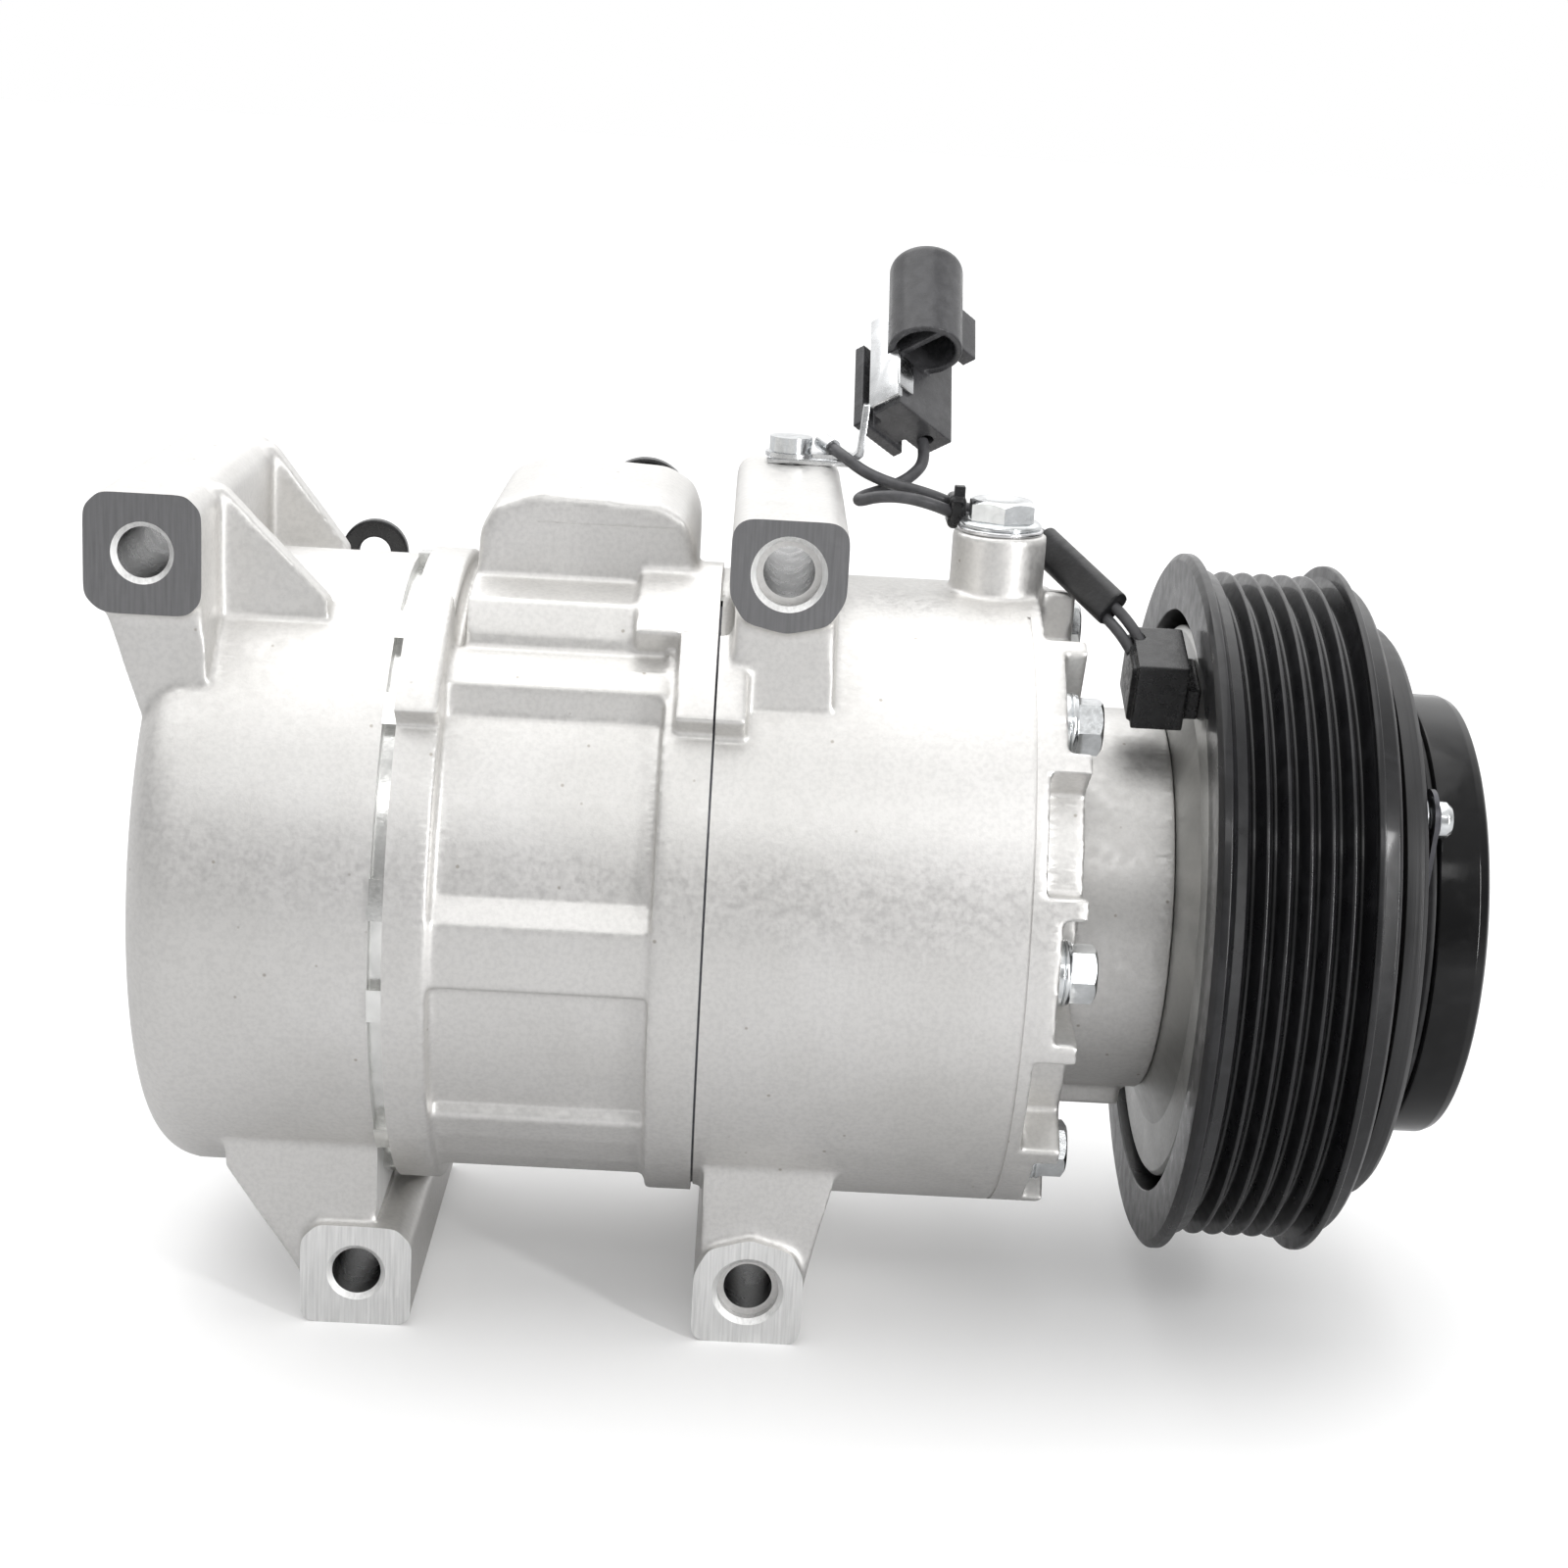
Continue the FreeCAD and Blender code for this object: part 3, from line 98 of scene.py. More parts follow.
def make_light(name, place, size, watts, aim):
    data = bpy.data.lights.new(name, "AREA")
    data.shape = "RECTANGLE"
    data.size, data.size_y = size[0] * MM, size[1] * MM
    data.energy = watts
    light = bpy.data.objects.new(name, data)
    bpy.context.scene.collection.objects.link(light)
    light.location = Vector(place) * MM
    light.rotation_euler = (Vector(aim) - Vector(place)).to_track_quat("-Z", "Y").to_euler()


def make_sun(name, towards, spread, strength):
    """A wide overhead panel far away: towards points from the object to it."""
    data = bpy.data.lights.new(name, "SUN")
    data.energy = strength
    data.angle = math.radians(spread)
    sun = bpy.data.objects.new(name, data)
    bpy.context.scene.collection.objects.link(sun)
    sun.rotation_euler = Vector(towards).to_track_quat("Z", "Y").to_euler()


def make_world():
    """White for the camera. The object sees a room, darkest above the horizon, brighter behind."""
    world = bpy.data.worlds.new("studio")
    world.use_nodes = True
    tree = world.node_tree
    tree.nodes.clear()
    output = tree.nodes.new("ShaderNodeOutputWorld")
    seen = tree.nodes.new("ShaderNodeBackground")
    seen.inputs["Color"].default_value = (1, 1, 1, 1)
    seen.inputs["Strength"].default_value = 1.0
    room = tree.nodes.new("ShaderNodeBackground")
    place = tree.nodes.new("ShaderNodeTexCoord")
    split = tree.nodes.new("ShaderNodeSeparateXYZ")
    ramp = tree.nodes.new("ShaderNodeValToRGB")
    shades = ((0.0, 0.6), (0.5, 0.5), (0.56, 0.38), (0.70, 0.56), (0.85, 0.86), (1.0, 0.92))
    for position, shade in shades:
        stop = ramp.color_ramp.elements.new(position)
        stop.color = (shade, shade, shade, 1)
    ramp.color_ramp.elements.remove(ramp.color_ramp.elements[0])
    ramp.color_ramp.elements.remove(ramp.color_ramp.elements[-1])
    scale = tree.nodes.new("ShaderNodeMapRange")
    scale.inputs["From Min"].default_value = -1
    path = tree.nodes.new("ShaderNodeLightPath")
    mix = tree.nodes.new("ShaderNodeMixShader")
    tree.links.new(place.outputs["Generated"], split.inputs[0])
    tree.links.new(split.outputs["Z"], scale.inputs["Value"])
    tree.links.new(scale.outputs[0], ramp.inputs[0])
    tree.links.new(ramp.outputs["Color"], room.inputs["Color"])
    backdrop = tree.nodes.new("ShaderNodeMapRange")
    for socket, number in (("From Min", 0.0), ("From Max", 0.75), ("To Min", 0.85), ("To Max", 2.3)):
        backdrop.inputs[socket].default_value = number
    tree.links.new(split.outputs["Y"], backdrop.inputs["Value"])
    tree.links.new(backdrop.outputs[0], room.inputs["Strength"])
    tree.links.new(path.outputs["Is Camera Ray"], mix.inputs[0])
    tree.links.new(room.outputs[0], mix.inputs[1])
    tree.links.new(seen.outputs[0], mix.inputs[2])
    tree.links.new(mix.outputs[0], output.inputs["Surface"])
    bpy.context.scene.world = world
    bpy.context.scene.view_settings.view_transform = "Standard"
    bpy.context.scene.view_settings.look = "None"


def make_floor():
    """Pale paper for the camera, and a greyer one for every other ray, so undersides stay dark."""
    bm = bmesh.new()
    reach = 6000 * MM
    corners = [bm.verts.new((x, y, FLOOR_Z * MM)) for x, y in
               ((-reach, -reach), (reach, -reach), (reach, reach), (-reach, reach))]
    bm.faces.new(corners)
    floor = from_bmesh("floor", bm)
    paper = Surface("paper", (0.84, 0.84, 0.84), 0.0, 0.9, specular=0.1)
    paper.shader.inputs["Emission Color"].default_value = (1, 1, 1, 1)
    paper.shader.inputs["Emission Strength"].default_value = 0.14
    paper.bump((paper.noise(2.0), 0.02))
    bounce = paper.node("ShaderNodeBsdfDiffuse")
    bounce.inputs["Color"].default_value = (0.56, 0.56, 0.565, 1)
    seen = paper.node("ShaderNodeMixShader")
    paper.link(paper.node("ShaderNodeLightPath").outputs["Is Camera Ray"], seen.inputs[0])
    paper.link(bounce.outputs[0], seen.inputs[1])
    paper.link(paper.shader.outputs[0], seen.inputs[2])
    paper.link(seen.outputs[0], paper.output.inputs["Surface"])
    floor.data.materials.append(paper.material)


# ---------------------------------------------------------------- materials

class Surface:
    """A procedural material. Feature sizes are millimetres on the object."""

    def __init__(self, name, colour, metallic, roughness, coat=0.0, specular=0.5):
        self.material = bpy.data.materials.new(name)
        self.material.use_nodes = True
        self.tree = self.material.node_tree
        self.tree.nodes.clear()
        self.output = self.tree.nodes.new("ShaderNodeOutputMaterial")
        self.shader = self.tree.nodes.new("ShaderNodeBsdfPrincipled")
        self.link(self.shader.outputs[0], self.output.inputs["Surface"])
        self.shader.inputs["Base Color"].default_value = (*colour, 1)
        self.shader.inputs["Metallic"].default_value = metallic
        self.shader.inputs["Roughness"].default_value = roughness
        self.shader.inputs["Coat Weight"].default_value = coat
        self.shader.inputs["Coat Roughness"].default_value = 0.08
        self.shader.inputs["Specular IOR Level"].default_value = specular
        self.place = self.tree.nodes.new("ShaderNodeTexCoord").outputs["Object"]

    def node(self, kind, **settings):
        made = self.tree.nodes.new(kind)
        for setting, option in settings.items():
            setattr(made, setting, option)
        return made

    def link(self, out, into):
        self.tree.links.new(out, into)

    def noise(self, size, detail=3, distortion=0.0, vector=None):
        made = self.node("ShaderNodeTexNoise")
        made.inputs["Scale"].default_value = 1 / (size * MM)
        made.inputs["Detail"].default_value = detail
        made.inputs["Distortion"].default_value = distortion
        self.link(vector or self.place, made.inputs["Vector"])
        return made.outputs["Fac"]

    def cells(self, size):
        made = self.node("ShaderNodeTexVoronoi", feature="F1")
        made.inputs["Scale"].default_value = 1 / (size * MM)
        self.link(self.place, made.inputs["Vector"])
        return made.outputs["Distance"]

    def turned(self, size, axis):
        """Fine lines of a lathe: noise read along the axis and along the radius about it."""
        split = self.node("ShaderNodeSeparateXYZ")
        self.link(self.place, split.inputs[0])
        others = [name for name in "XYZ" if name != axis]
        flat = self.node("ShaderNodeCombineXYZ")
        self.link(split.outputs[others[0]], flat.inputs[0])
        self.link(split.outputs[others[1]], flat.inputs[1])
        radius = self.node("ShaderNodeVectorMath", operation="LENGTH")
        self.link(flat.outputs[0], radius.inputs[0])
        pair = self.node("ShaderNodeCombineXYZ")
        self.link(split.outputs[axis], pair.inputs[0])
        self.link(radius.outputs["Value"], pair.inputs[1])
        return self.noise(size, 2, vector=pair.outputs[0])

    def brushed(self, size, stretch):
        """Noise drawn out along the axes whose stretch is small."""
        mapping = self.node("ShaderNodeMapping")
        mapping.inputs["Scale"].default_value = stretch
        self.link(self.place, mapping.inputs["Vector"])
        return self.noise(size, 3, vector=mapping.outputs[0])

    def between(self, value, start, end, first, last):
        made = self.node("ShaderNodeMapRange")
        limits = {"From Min": start, "From Max": end, "To Min": first, "To Max": last}
        for socket, number in limits.items():
            made.inputs[socket].default_value = number
        self.link(value, made.inputs["Value"])
        return made.outputs[0]

    def colours(self, value, stops):
        made = self.node("ShaderNodeValToRGB")
        ramp = made.color_ramp
        for (position, colour), element in zip(stops, (ramp.elements[0], ramp.elements[1])):
            element.position, element.color = position, (*colour, 1)
        for position, colour in stops[2:]:
            ramp.elements.new(position).color = (*colour, 1)
        self.link(value, made.inputs[0])
        return made.outputs["Color"]

    def multiplied(self, amount, first, second):
        """The first colour darkened by the second. Sockets 6, 7 and output 2 are the node's colours."""
        made = self.node("ShaderNodeMix", data_type="RGBA", blend_type="MULTIPLY")
        made.inputs["Factor"].default_value = amount
        self.link(first, made.inputs[6])
        self.link(second, made.inputs[7])
        return made.outputs[2]

    def base(self, colour):
        self.link(colour, self.shader.inputs["Base Color"])

    def rough(self, value, first, last):
        self.link(self.between(value, 0.3, 0.7, first, last), self.shader.inputs["Roughness"])

    def bump(self, *layers):
        """Layers of (height output, depth in millimetres), one bump node after another."""
        normal = None
        for height, depth in layers:
            made = self.node("ShaderNodeBump")
            made.inputs["Distance"].default_value = depth * MM
            self.link(height, made.inputs["Height"])
            if normal is not None:
                self.link(normal, made.inputs["Normal"])
            normal = made.outputs[0]
        self.link(normal, self.shader.inputs["Normal"])


def cast_metal():
    surface = Surface("cast_aluminium", (0.78, 0.77, 0.75), 0.85, 0.5)
    clouds = surface.colours(surface.noise(32, 3, 0.4),
                             ((0.32, (0.72, 0.71, 0.69)), (0.70, (0.79, 0.78, 0.765))))
    grain = surface.colours(surface.noise(0.8, 3),
                            ((0.34, (0.92, 0.92, 0.92)), (0.60, (1.0, 1.0, 1.0))))
    spots = surface.colours(surface.cells(6.5),
                            ((0.03, (0.45, 0.40, 0.34)), (0.06, (1, 1, 1))))
    worn = surface.multiplied(1.0, clouds, grain)
    surface.base(surface.multiplied(0.6, worn, spots))
    surface.rough(surface.noise(1.6, 4), 0.38, 0.52)
    surface.bump((surface.noise(15, 2), 0.04), (surface.noise(0.9, 4), 0.018),
                 (surface.noise(0.35, 2), 0.012))
    return surface.material


def milled_metal(name, colour, roughness):
    surface = Surface(name, colour, 0.9, roughness)
    lines = surface.brushed(0.5, (1.0, 1.0, 0.05))
    dark, pale = (tuple(c * k for c in colour) for k in (0.86, 1.08))
    surface.base(surface.colours(lines, ((0.3, dark), (0.7, pale))))
    surface.rough(surface.noise(1.2), roughness - 0.06, roughness + 0.08)
    surface.bump((lines, 0.006), (surface.noise(0.25, 2), 0.004))
    return surface.material


def turned_metal(name, colour, roughness, metallic=1.0, line=0.35, depth=0.008, axis="X"):
    surface = Surface(name, colour, metallic, roughness)
    lines = surface.turned(line, axis)
    dark, pale = (tuple(min(1, c * k) for c in colour) for k in (0.85, 1.1))
    surface.base(surface.colours(lines, ((0.3, dark), (0.7, pale))))
    surface.rough(surface.noise(4, 3), roughness - 0.05, roughness + 0.06)
    surface.bump((lines, depth))
    return surface.material


def plated_metal(name, colour, roughness, cloud=3.0):
    surface = Surface(name, colour, 1.0, roughness)
    dark, pale = (tuple(min(1, c * k) for c in colour) for k in (0.8, 1.08))
    surface.base(surface.colours(surface.noise(cloud, 4, 0.8), ((0.3, dark), (0.7, pale))))
    surface.rough(surface.noise(0.8), roughness - 0.05, roughness + 0.1)
    surface.bump((surface.noise(1.1, 3), 0.02), (surface.noise(0.2, 2), 0.005))
    return surface.material


def painted(name, colour, roughness, peel=1.6, depth=0.012, coat=0.0):
    surface = Surface(name, colour, 0.0, roughness, coat, 0.3)
    pale = tuple(c * 1.9 + 0.004 for c in colour)
    surface.base(surface.colours(surface.noise(6, 5, 1.0), ((0.45, colour), (0.80, pale))))
    surface.rough(surface.noise(3, 4), roughness - 0.05, roughness + 0.09)
    surface.bump((surface.noise(peel, 2), depth), (surface.noise(0.3, 2), depth / 4))
    return surface.material


def plastic(name, colour, roughness, grain=0.28, depth=0.012):
    surface = Surface(name, colour, 0.0, roughness)
    pale = tuple(c * 1.7 + 0.006 for c in colour)
    surface.base(surface.colours(surface.noise(2.5, 5, 0.5), ((0.4, colour), (0.85, pale))))
    surface.rough(surface.noise(1.5, 3), roughness - 0.08, roughness + 0.1)
    surface.bump((surface.cells(grain), depth), (surface.noise(3, 2), 0.02))
    return surface.material


MATERIALS = {}


def make_materials():
    MATERIALS.update({
        "cast": cast_metal(),
        # The grey milled look is the pale milled metal darkened: painted shade for the upper ears'
        # faces.
        "milled_painted_shade": milled_metal("milled_painted_shade", (0.23, 0.23, 0.235), 0.42),
        "milled_pale": milled_metal("milled_pale", (0.95, 0.95, 0.94), 0.55),
        "bored": turned_metal("bored", (0.62, 0.62, 0.62), 0.28, axis="Y"),
        "turned_pale": turned_metal("turned_pale", (0.74, 0.74, 0.73), 0.34),
        "zinc": plated_metal("zinc", (0.80, 0.82, 0.83), 0.17),
        "sheet_steel": plated_metal("sheet_steel", (0.78, 0.79, 0.80), 0.22, 5.0),
        "gasket": plated_metal("gasket", (0.88, 0.88, 0.86), 0.16, 6.0),
        "ground_steel": turned_metal("ground_steel", (0.56, 0.56, 0.57), 0.22),
        "blued_steel": plated_metal("blued_steel", (0.10, 0.10, 0.11), 0.32),
        "brass": turned_metal("brass", (0.78, 0.60, 0.28), 0.25, axis="Y"),
        "pulley_black": painted("pulley_black", (0.008, 0.008, 0.009), 0.30, coat=0.3),
        "armature_black": turned_metal("armature_black", (0.018, 0.018, 0.019), 0.36, 0.0, 0.5, 0.05),
        "cover_black": painted("cover_black", (0.003, 0.003, 0.0033), 0.12, 2.5, 0.008),
        "hub_black": painted("hub_black", (0.02, 0.02, 0.021), 0.42),
        "shell_grey": plated_metal("shell_grey", (0.50, 0.50, 0.49), 0.34, 14.0),
        "resin": plastic("resin", (0.03, 0.03, 0.032), 0.5),
        "black_plastic": plastic("black_plastic", (0.009, 0.009, 0.01), 0.27),
        "connector_plastic": plastic("connector_plastic", (0.05, 0.05, 0.053), 0.27),
        "sleeve": plastic("sleeve", (0.011, 0.011, 0.012), 0.36, 0.6, 0.02),
        "wire": plastic("wire", (0.06, 0.06, 0.064), 0.40, 0.5, 0.01),
        "rubber": plastic("rubber", (0.02, 0.02, 0.02), 0.62),
        "tin": plated_metal("tin", (0.78, 0.78, 0.79), 0.2),
    })


# ---------------------------------------------------------------- meshes

def new_object(name, data):
    made = bpy.data.objects.new(name, data)
    bpy.context.scene.collection.objects.link(made)
    return made


def from_bmesh(name, bm):
    bmesh.ops.recalc_face_normals(bm, faces=bm.faces)
    mesh = bpy.data.meshes.new(name)
    bm.to_mesh(mesh)
    bm.free()
    return new_object(name, mesh)


def loft(name, loops, closed=False):
    """Faces between rings of points in millimetres. A ring of one point is a pole."""
    bm = bmesh.new()
    rings = [[bm.verts.new(Vector(point) * MM) for point in loop] for loop in loops]
    count = max(len(ring) for ring in rings)
    pairs = list(zip(rings, rings[1:] + rings[:1] if closed else rings[1:]))
    for first, second in pairs:
        for i in range(count):
            corners = []
            for ring, steps in ((first, (i, i + 1)), (second, (i + 1, i))):
                corners += [ring[step % len(ring)] for step in steps]
            corners = list(dict.fromkeys(corners))
            bm.faces.new(corners)
    return from_bmesh(name, bm)


FRAMES = {
    "X": Matrix(((1, 0, 0), (0, 1, 0), (0, 0, 1))),
    "Y": Matrix(((0, 0, 1), (1, 0, 0), (0, 1, 0))),
    "Z": Matrix(((0, 1, 0), (0, 0, 1), (1, 0, 0))),
}


def lathe(name, outline, axis, centre, segments):
    """A turned piece from (along, radius) corners. It is a closed ring unless it starts on the axis."""
    turn, centre = FRAMES[axis], Vector(centre)
    loops = []
    for along, radius in outline:
        steps = 1 if radius < 1e-6 else segments
        angles = [2 * math.pi * i / segments for i in range(steps)]
        loops.append([centre + turn @ Vector((along, radius * math.cos(a), radius * math.sin(a)))
                      for a in angles])
    return loft(name, loops, closed=outline[0][1] > 1e-6)


def rounded(outline, radius, steps=3, closed=True):
    """An outline whose corners are arcs of this radius, smaller where an edge is short."""
    result, count = [], len(outline)
    for i in range(count):
        here = Vector(outline[i])
        if not closed and i in (0, count - 1):
            result.append(tuple(here))
            continue
        before = Vector(outline[i - 1]) - here
        after = Vector(outline[(i + 1) % count]) - here
        angle = before.angle(after)
        if angle > math.radians(172):
            result.append(tuple(here))
            continue
        reach = min(radius / math.tan(angle / 2), 0.45 * before.length, 0.45 * after.length)
        start, end = here + before.normalized() * reach, here + after.normalized() * reach
        for step in range(steps + 1):
            t = step / steps
            point = start * (1 - t) ** 2 + here * 2 * t * (1 - t) + end * t ** 2
            result.append(tuple(point))
    return result


def slab(name, points, start, length, normal="Y"):
    """A flat outline pushed along Y (points are X, Z) or Z (points are X, Y)."""
    order = {"Y": (0, 2, 1), "Z": (0, 1, 2)}[normal]
    loops = []
    for depth in (start, start + length):
        loop = []
        for point in points:
            corner = [0, 0, 0]
            corner[order[0]], corner[order[1]], corner[order[2]] = point[0], point[1], depth
            loop.append(corner)
        loops.append(loop)
    bm = bmesh.new()
    rings = [[bm.verts.new(Vector(point) * MM) for point in loop] for loop in loops]
    bm.faces.new(rings[0])
    bm.faces.new(rings[1])
    count = len(points)
    for i in range(count):
        j = (i + 1) % count
        bm.faces.new((rings[0][i], rings[0][j], rings[1][j], rings[1][i]))
    return from_bmesh(name, bm)


def block(name, lowest, highest, place=None):
    """A box between two corners, then moved by a matrix if one is given."""
    points = [(lowest[0], lowest[1]), (highest[0], lowest[1]),
              (highest[0], highest[1]), (lowest[0], highest[1])]
    made = slab(name, points, lowest[2], highest[2] - lowest[2], "Z")
    if place is not None:
        made.data.transform(place)
    return made


def modify(piece, kind, **settings):
    made = piece.modifiers.new(kind, kind)
    for setting, option in settings.items():
        setattr(made, setting, option)


def baked(piece):
    """The piece with its modifiers worked into its mesh."""
    bpy.context.view_layer.update()
    graph = bpy.context.evaluated_depsgraph_get()
    mesh = bpy.data.meshes.new_from_object(piece.evaluated_get(graph))
    piece.modifiers.clear()
    piece.data = mesh
    return piece


def bevelled(piece, width):
    modify(piece, "BEVEL", width=width * MM, segments=2, limit_method="ANGLE",
           angle_limit=math.radians(30), miter_outer="MITER_ARC")
    return baked(piece)


def cut(piece, tools):
    """Cuts the tools from a piece, one after another, and clears them away."""
    for tool in tools:
        modify(piece, "BOOLEAN", operation="DIFFERENCE", solver="MANIFOLD", object=tool)
        baked(piece)
        bpy.data.objects.remove(tool)


def read_points(mesh):
    """A mesh's points as rows of x, y and z, in metres."""
    points = np.zeros(len(mesh.vertices) * 3)
    mesh.vertices.foreach_get("co", points)
    return points.reshape(-1, 3)


def write_points(mesh, points):
    mesh.vertices.foreach_set("co", points.ravel())
    mesh.update()


def merged(name, pieces):
    """One object that holds several pieces' meshes."""
    bm = bmesh.new()
    for piece in pieces:
        bm.from_mesh(piece.data)
        bpy.data.objects.remove(piece)
    mesh = bpy.data.meshes.new(name)
    bm.to_mesh(mesh)
    bm.free()
    return new_object(name, mesh)


def finish(piece, body, material, replaces=(), sharp=38):
    """Shading, material and body for a new piece, with the CAD nodes it replaces hidden."""
    if piece.type == "MESH":
        if material is not None:
            piece.data.materials.clear()
            piece.data.materials.append(MATERIALS[material])
        piece.data.polygons.foreach_set("use_smooth", [True] * len(piece.data.polygons))
        piece.data.set_sharp_from_angle(angle=math.radians(sharp))
    else:
        piece.data.materials.append(MATERIALS[material])
    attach(piece, body)
    if replaces:
        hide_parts(*replaces)


# ---------------------------------------------------------------- castings

def relax(points, edges, passes, rate=0.7):
    """Moves each point towards the mean of its neighbours, which rounds every edge."""
    count = len(points)
    degree = np.bincount(edges.ravel(), minlength=count)
    first, second = edges[:, 0], edges[:, 1]
    for _ in range(passes):
        for axis in range(3):
            column = points[:, axis]
            total = (np.bincount(first, column[second], count)
                     + np.bincount(second, column[first], count))
            points[:, axis] = column + rate * (total / degree - column)


def relax_where(points, edges, weight, passes):
    """The same for the points whose weight is above zero, and no others."""
    inside = weight > 0
    number = np.cumsum(inside) - 1
    kept = edges[inside[edges[:, 0]] & inside[edges[:, 1]]]
    local = points[inside]
    relax(local, number[kept], passes, 0.7 * weight[inside])
    points[inside] = local


def true_radii(points, radii, tolerance=0.08):
    """Puts points of a faceted barrel back on its round surface."""
    radius = np.hypot(points[:, 1], points[:, 2])
    for wanted in radii:
        near = np.abs(radius - wanted * MM) < tolerance * MM
        points[near, 1:] *= (wanted * MM / radius[near])[:, None]


def soft_copy(name, node, voxel, softness, grow=(), radii=(), plugs=(), rounder=()):
    """A copy of a CAD node with its edges rounded by about softness millimetres.

    grow lists (axis, place, distance, test): faces at that place move out before the edges are rounded,
    so that a flat cut back to the place leaves a crisp machined face. radii are barrels that stay
    round. plugs are joined to the copy first, such as fills for bores that are cut again later.
    rounder lists (weight function of x, y and z, softness) for places rounded further.
    """
    bm = bmesh.new()
    bm.from_mesh(NODES[node].data)
    bmesh.ops.remove_doubles(bm, verts=bm.verts, dist=2e-6)
    for vertex in bm.verts:
        for axis, place, distance, test in grow:
            if abs(vertex.co[axis] - place * MM) < 2e-5 and test(vertex.co / MM):
                vertex.co[axis] += distance * MM
    piece = merged(name, [from_bmesh(name, bm), *plugs])
    modify(piece, "REMESH", mode="VOXEL", voxel_size=voxel * MM)
    baked(piece)
    mesh = piece.data
    points = read_points(mesh)
    edges = np.zeros(len(mesh.edges) * 2, dtype=np.int32)
    mesh.edges.foreach_get("vertices", edges)
    edges = edges.reshape(-1, 2)
    true_radii(points, radii)
    for weight, further in rounder:
        relax_where(points, edges, weight(*(points.T / MM)), round((further / voxel) ** 2))
    relax(points, edges, max(1, round((softness / voxel) ** 2)))
    true_radii(points, radii)
    write_points(mesh, points)
    return piece


def ear_plug(x, z, radius):
    """Fills an ear's bore past both faces."""
    front, back = EAR_FRONT - EAR_GROWTH, EAR_BACK + EAR_GROWTH
    outline = [(front, 0), (front, radius), (back, radius), (back, 0)]
    return lathe("plug", outline, "Y", (x, 0, z), 48)


def near_ear(centre_x, centre_z):
    """Weight 1 near an ear's bore, falling to 0 at 19 mm from it."""
    def weight(x, y, z):
        return np.clip((19 - np.hypot(x - centre_x, z - centre_z)) / 4, 0, 1)
    return weight


def dome_weight(x, y, z):
    """Weight 1 on the silencer dome, falling to 0 at the panel below it."""
    return np.clip((z - 57.5) / 4, 0, 1) * (x < -97)


def thin_out(piece, share, radii=()):
    """Fewer faces, with the points on a barrel put back on its round surface."""
    modify(piece, "DECIMATE", ratio=share)
    baked(piece)
    points = read_points(piece.data)
    true_radii(points, radii, 0.05)
    write_points(piece.data, points)


def bore_cutter(mount, counterbore=0.0, depth=0.0, chamfer=0.9):
    """A cutter along Y with a small chamfer at each mouth."""
    x, _, z = (c / MM for c in mount["pos_m"])
    radius = mount["dims"]["r_mm"]
    mouth = counterbore or radius
    outline = [(EAR_FRONT - 6, 0), (EAR_FRONT - 6, mouth + chamfer), (EAR_FRONT, mouth + chamfer),
               (EAR_FRONT + chamfer, mouth)]
    if counterbore:
        outline += [(EAR_FRONT + depth, mouth), (EAR_FRONT + depth, radius)]
    outline += [(EAR_BACK - chamfer, radius), (EAR_BACK, radius + chamfer),
                (EAR_BACK + 6, radius + chamfer), (EAR_BACK + 6, 0)]
    return lathe("cutter", outline, "Y", (x, 0, z), 72)


def ear_trim(x, z):
    """Two blocks that cut an ear's front and back ends flat."""
    reach = 15
    return [block("cutter", (x - reach, EAR_FRONT - 8, z - reach), (x + reach, EAR_FRONT, z + reach)),
            block("cutter", (x - reach, EAR_BACK, z - reach), (x + reach, EAR_BACK + 8, z + reach))]


def paint_faces(piece, materials, chooser):
    """Gives every face the material that chooser picks from its centre and normal."""
    piece.data.materials.clear()
    for material in materials:
        piece.data.materials.append(MATERIALS[material])
    for face in piece.data.polygons:
        face.material_index = chooser(face.center / MM, face.normal)


def casting_faces(ears, seams):
    """Chooser for castings: 0 cast, 1 grey milled (painted shade on the upper ears' faces), 2 pale
    milled, 3 bored.
    """
    def choose(centre, normal):
        for x, z, grey in ears:
            off = math.hypot(centre.x - x, centre.z - z)
            between = EAR_FRONT - 0.1 < centre.y < EAR_BACK + 0.1
            if 3.5 < off < 6.6 and abs(normal.y) < 0.85 and between:
                return 2 if abs(normal.y) > 0.6 else 3
            from_face = min(abs(centre.y - EAR_FRONT), abs(centre.y - EAR_BACK))
            flat = abs(normal.y) > 0.995 and from_face < 0.02
            # grey marks an upper ear, whose flat faces get the grey milled look, a painted shade.
            if off < 16 and flat:
                return 1 if grey else 2
        for seam in seams:
            if abs(centre.x - seam) < 0.02 and abs(normal.x) > 0.99:
                return 2
        return 0
    return choose


def is_ear(point):
    return abs(point.z) > 48


def anywhere(point):
    return True


def ear_growth():
    return [(1, EAR_FRONT, -EAR_GROWTH, is_ear), (1, EAR_BACK, EAR_GROWTH, is_ear)]


def place_of(name):
    x, _, z = (c / MM for c in MOUNTS[name]["pos_m"])
    return x, z


VOXEL = 0.5
CASTING_SHARE = 0.35
CASTING_LOOKS = ("cast", "milled_painted_shade", "milled_pale", "bored")


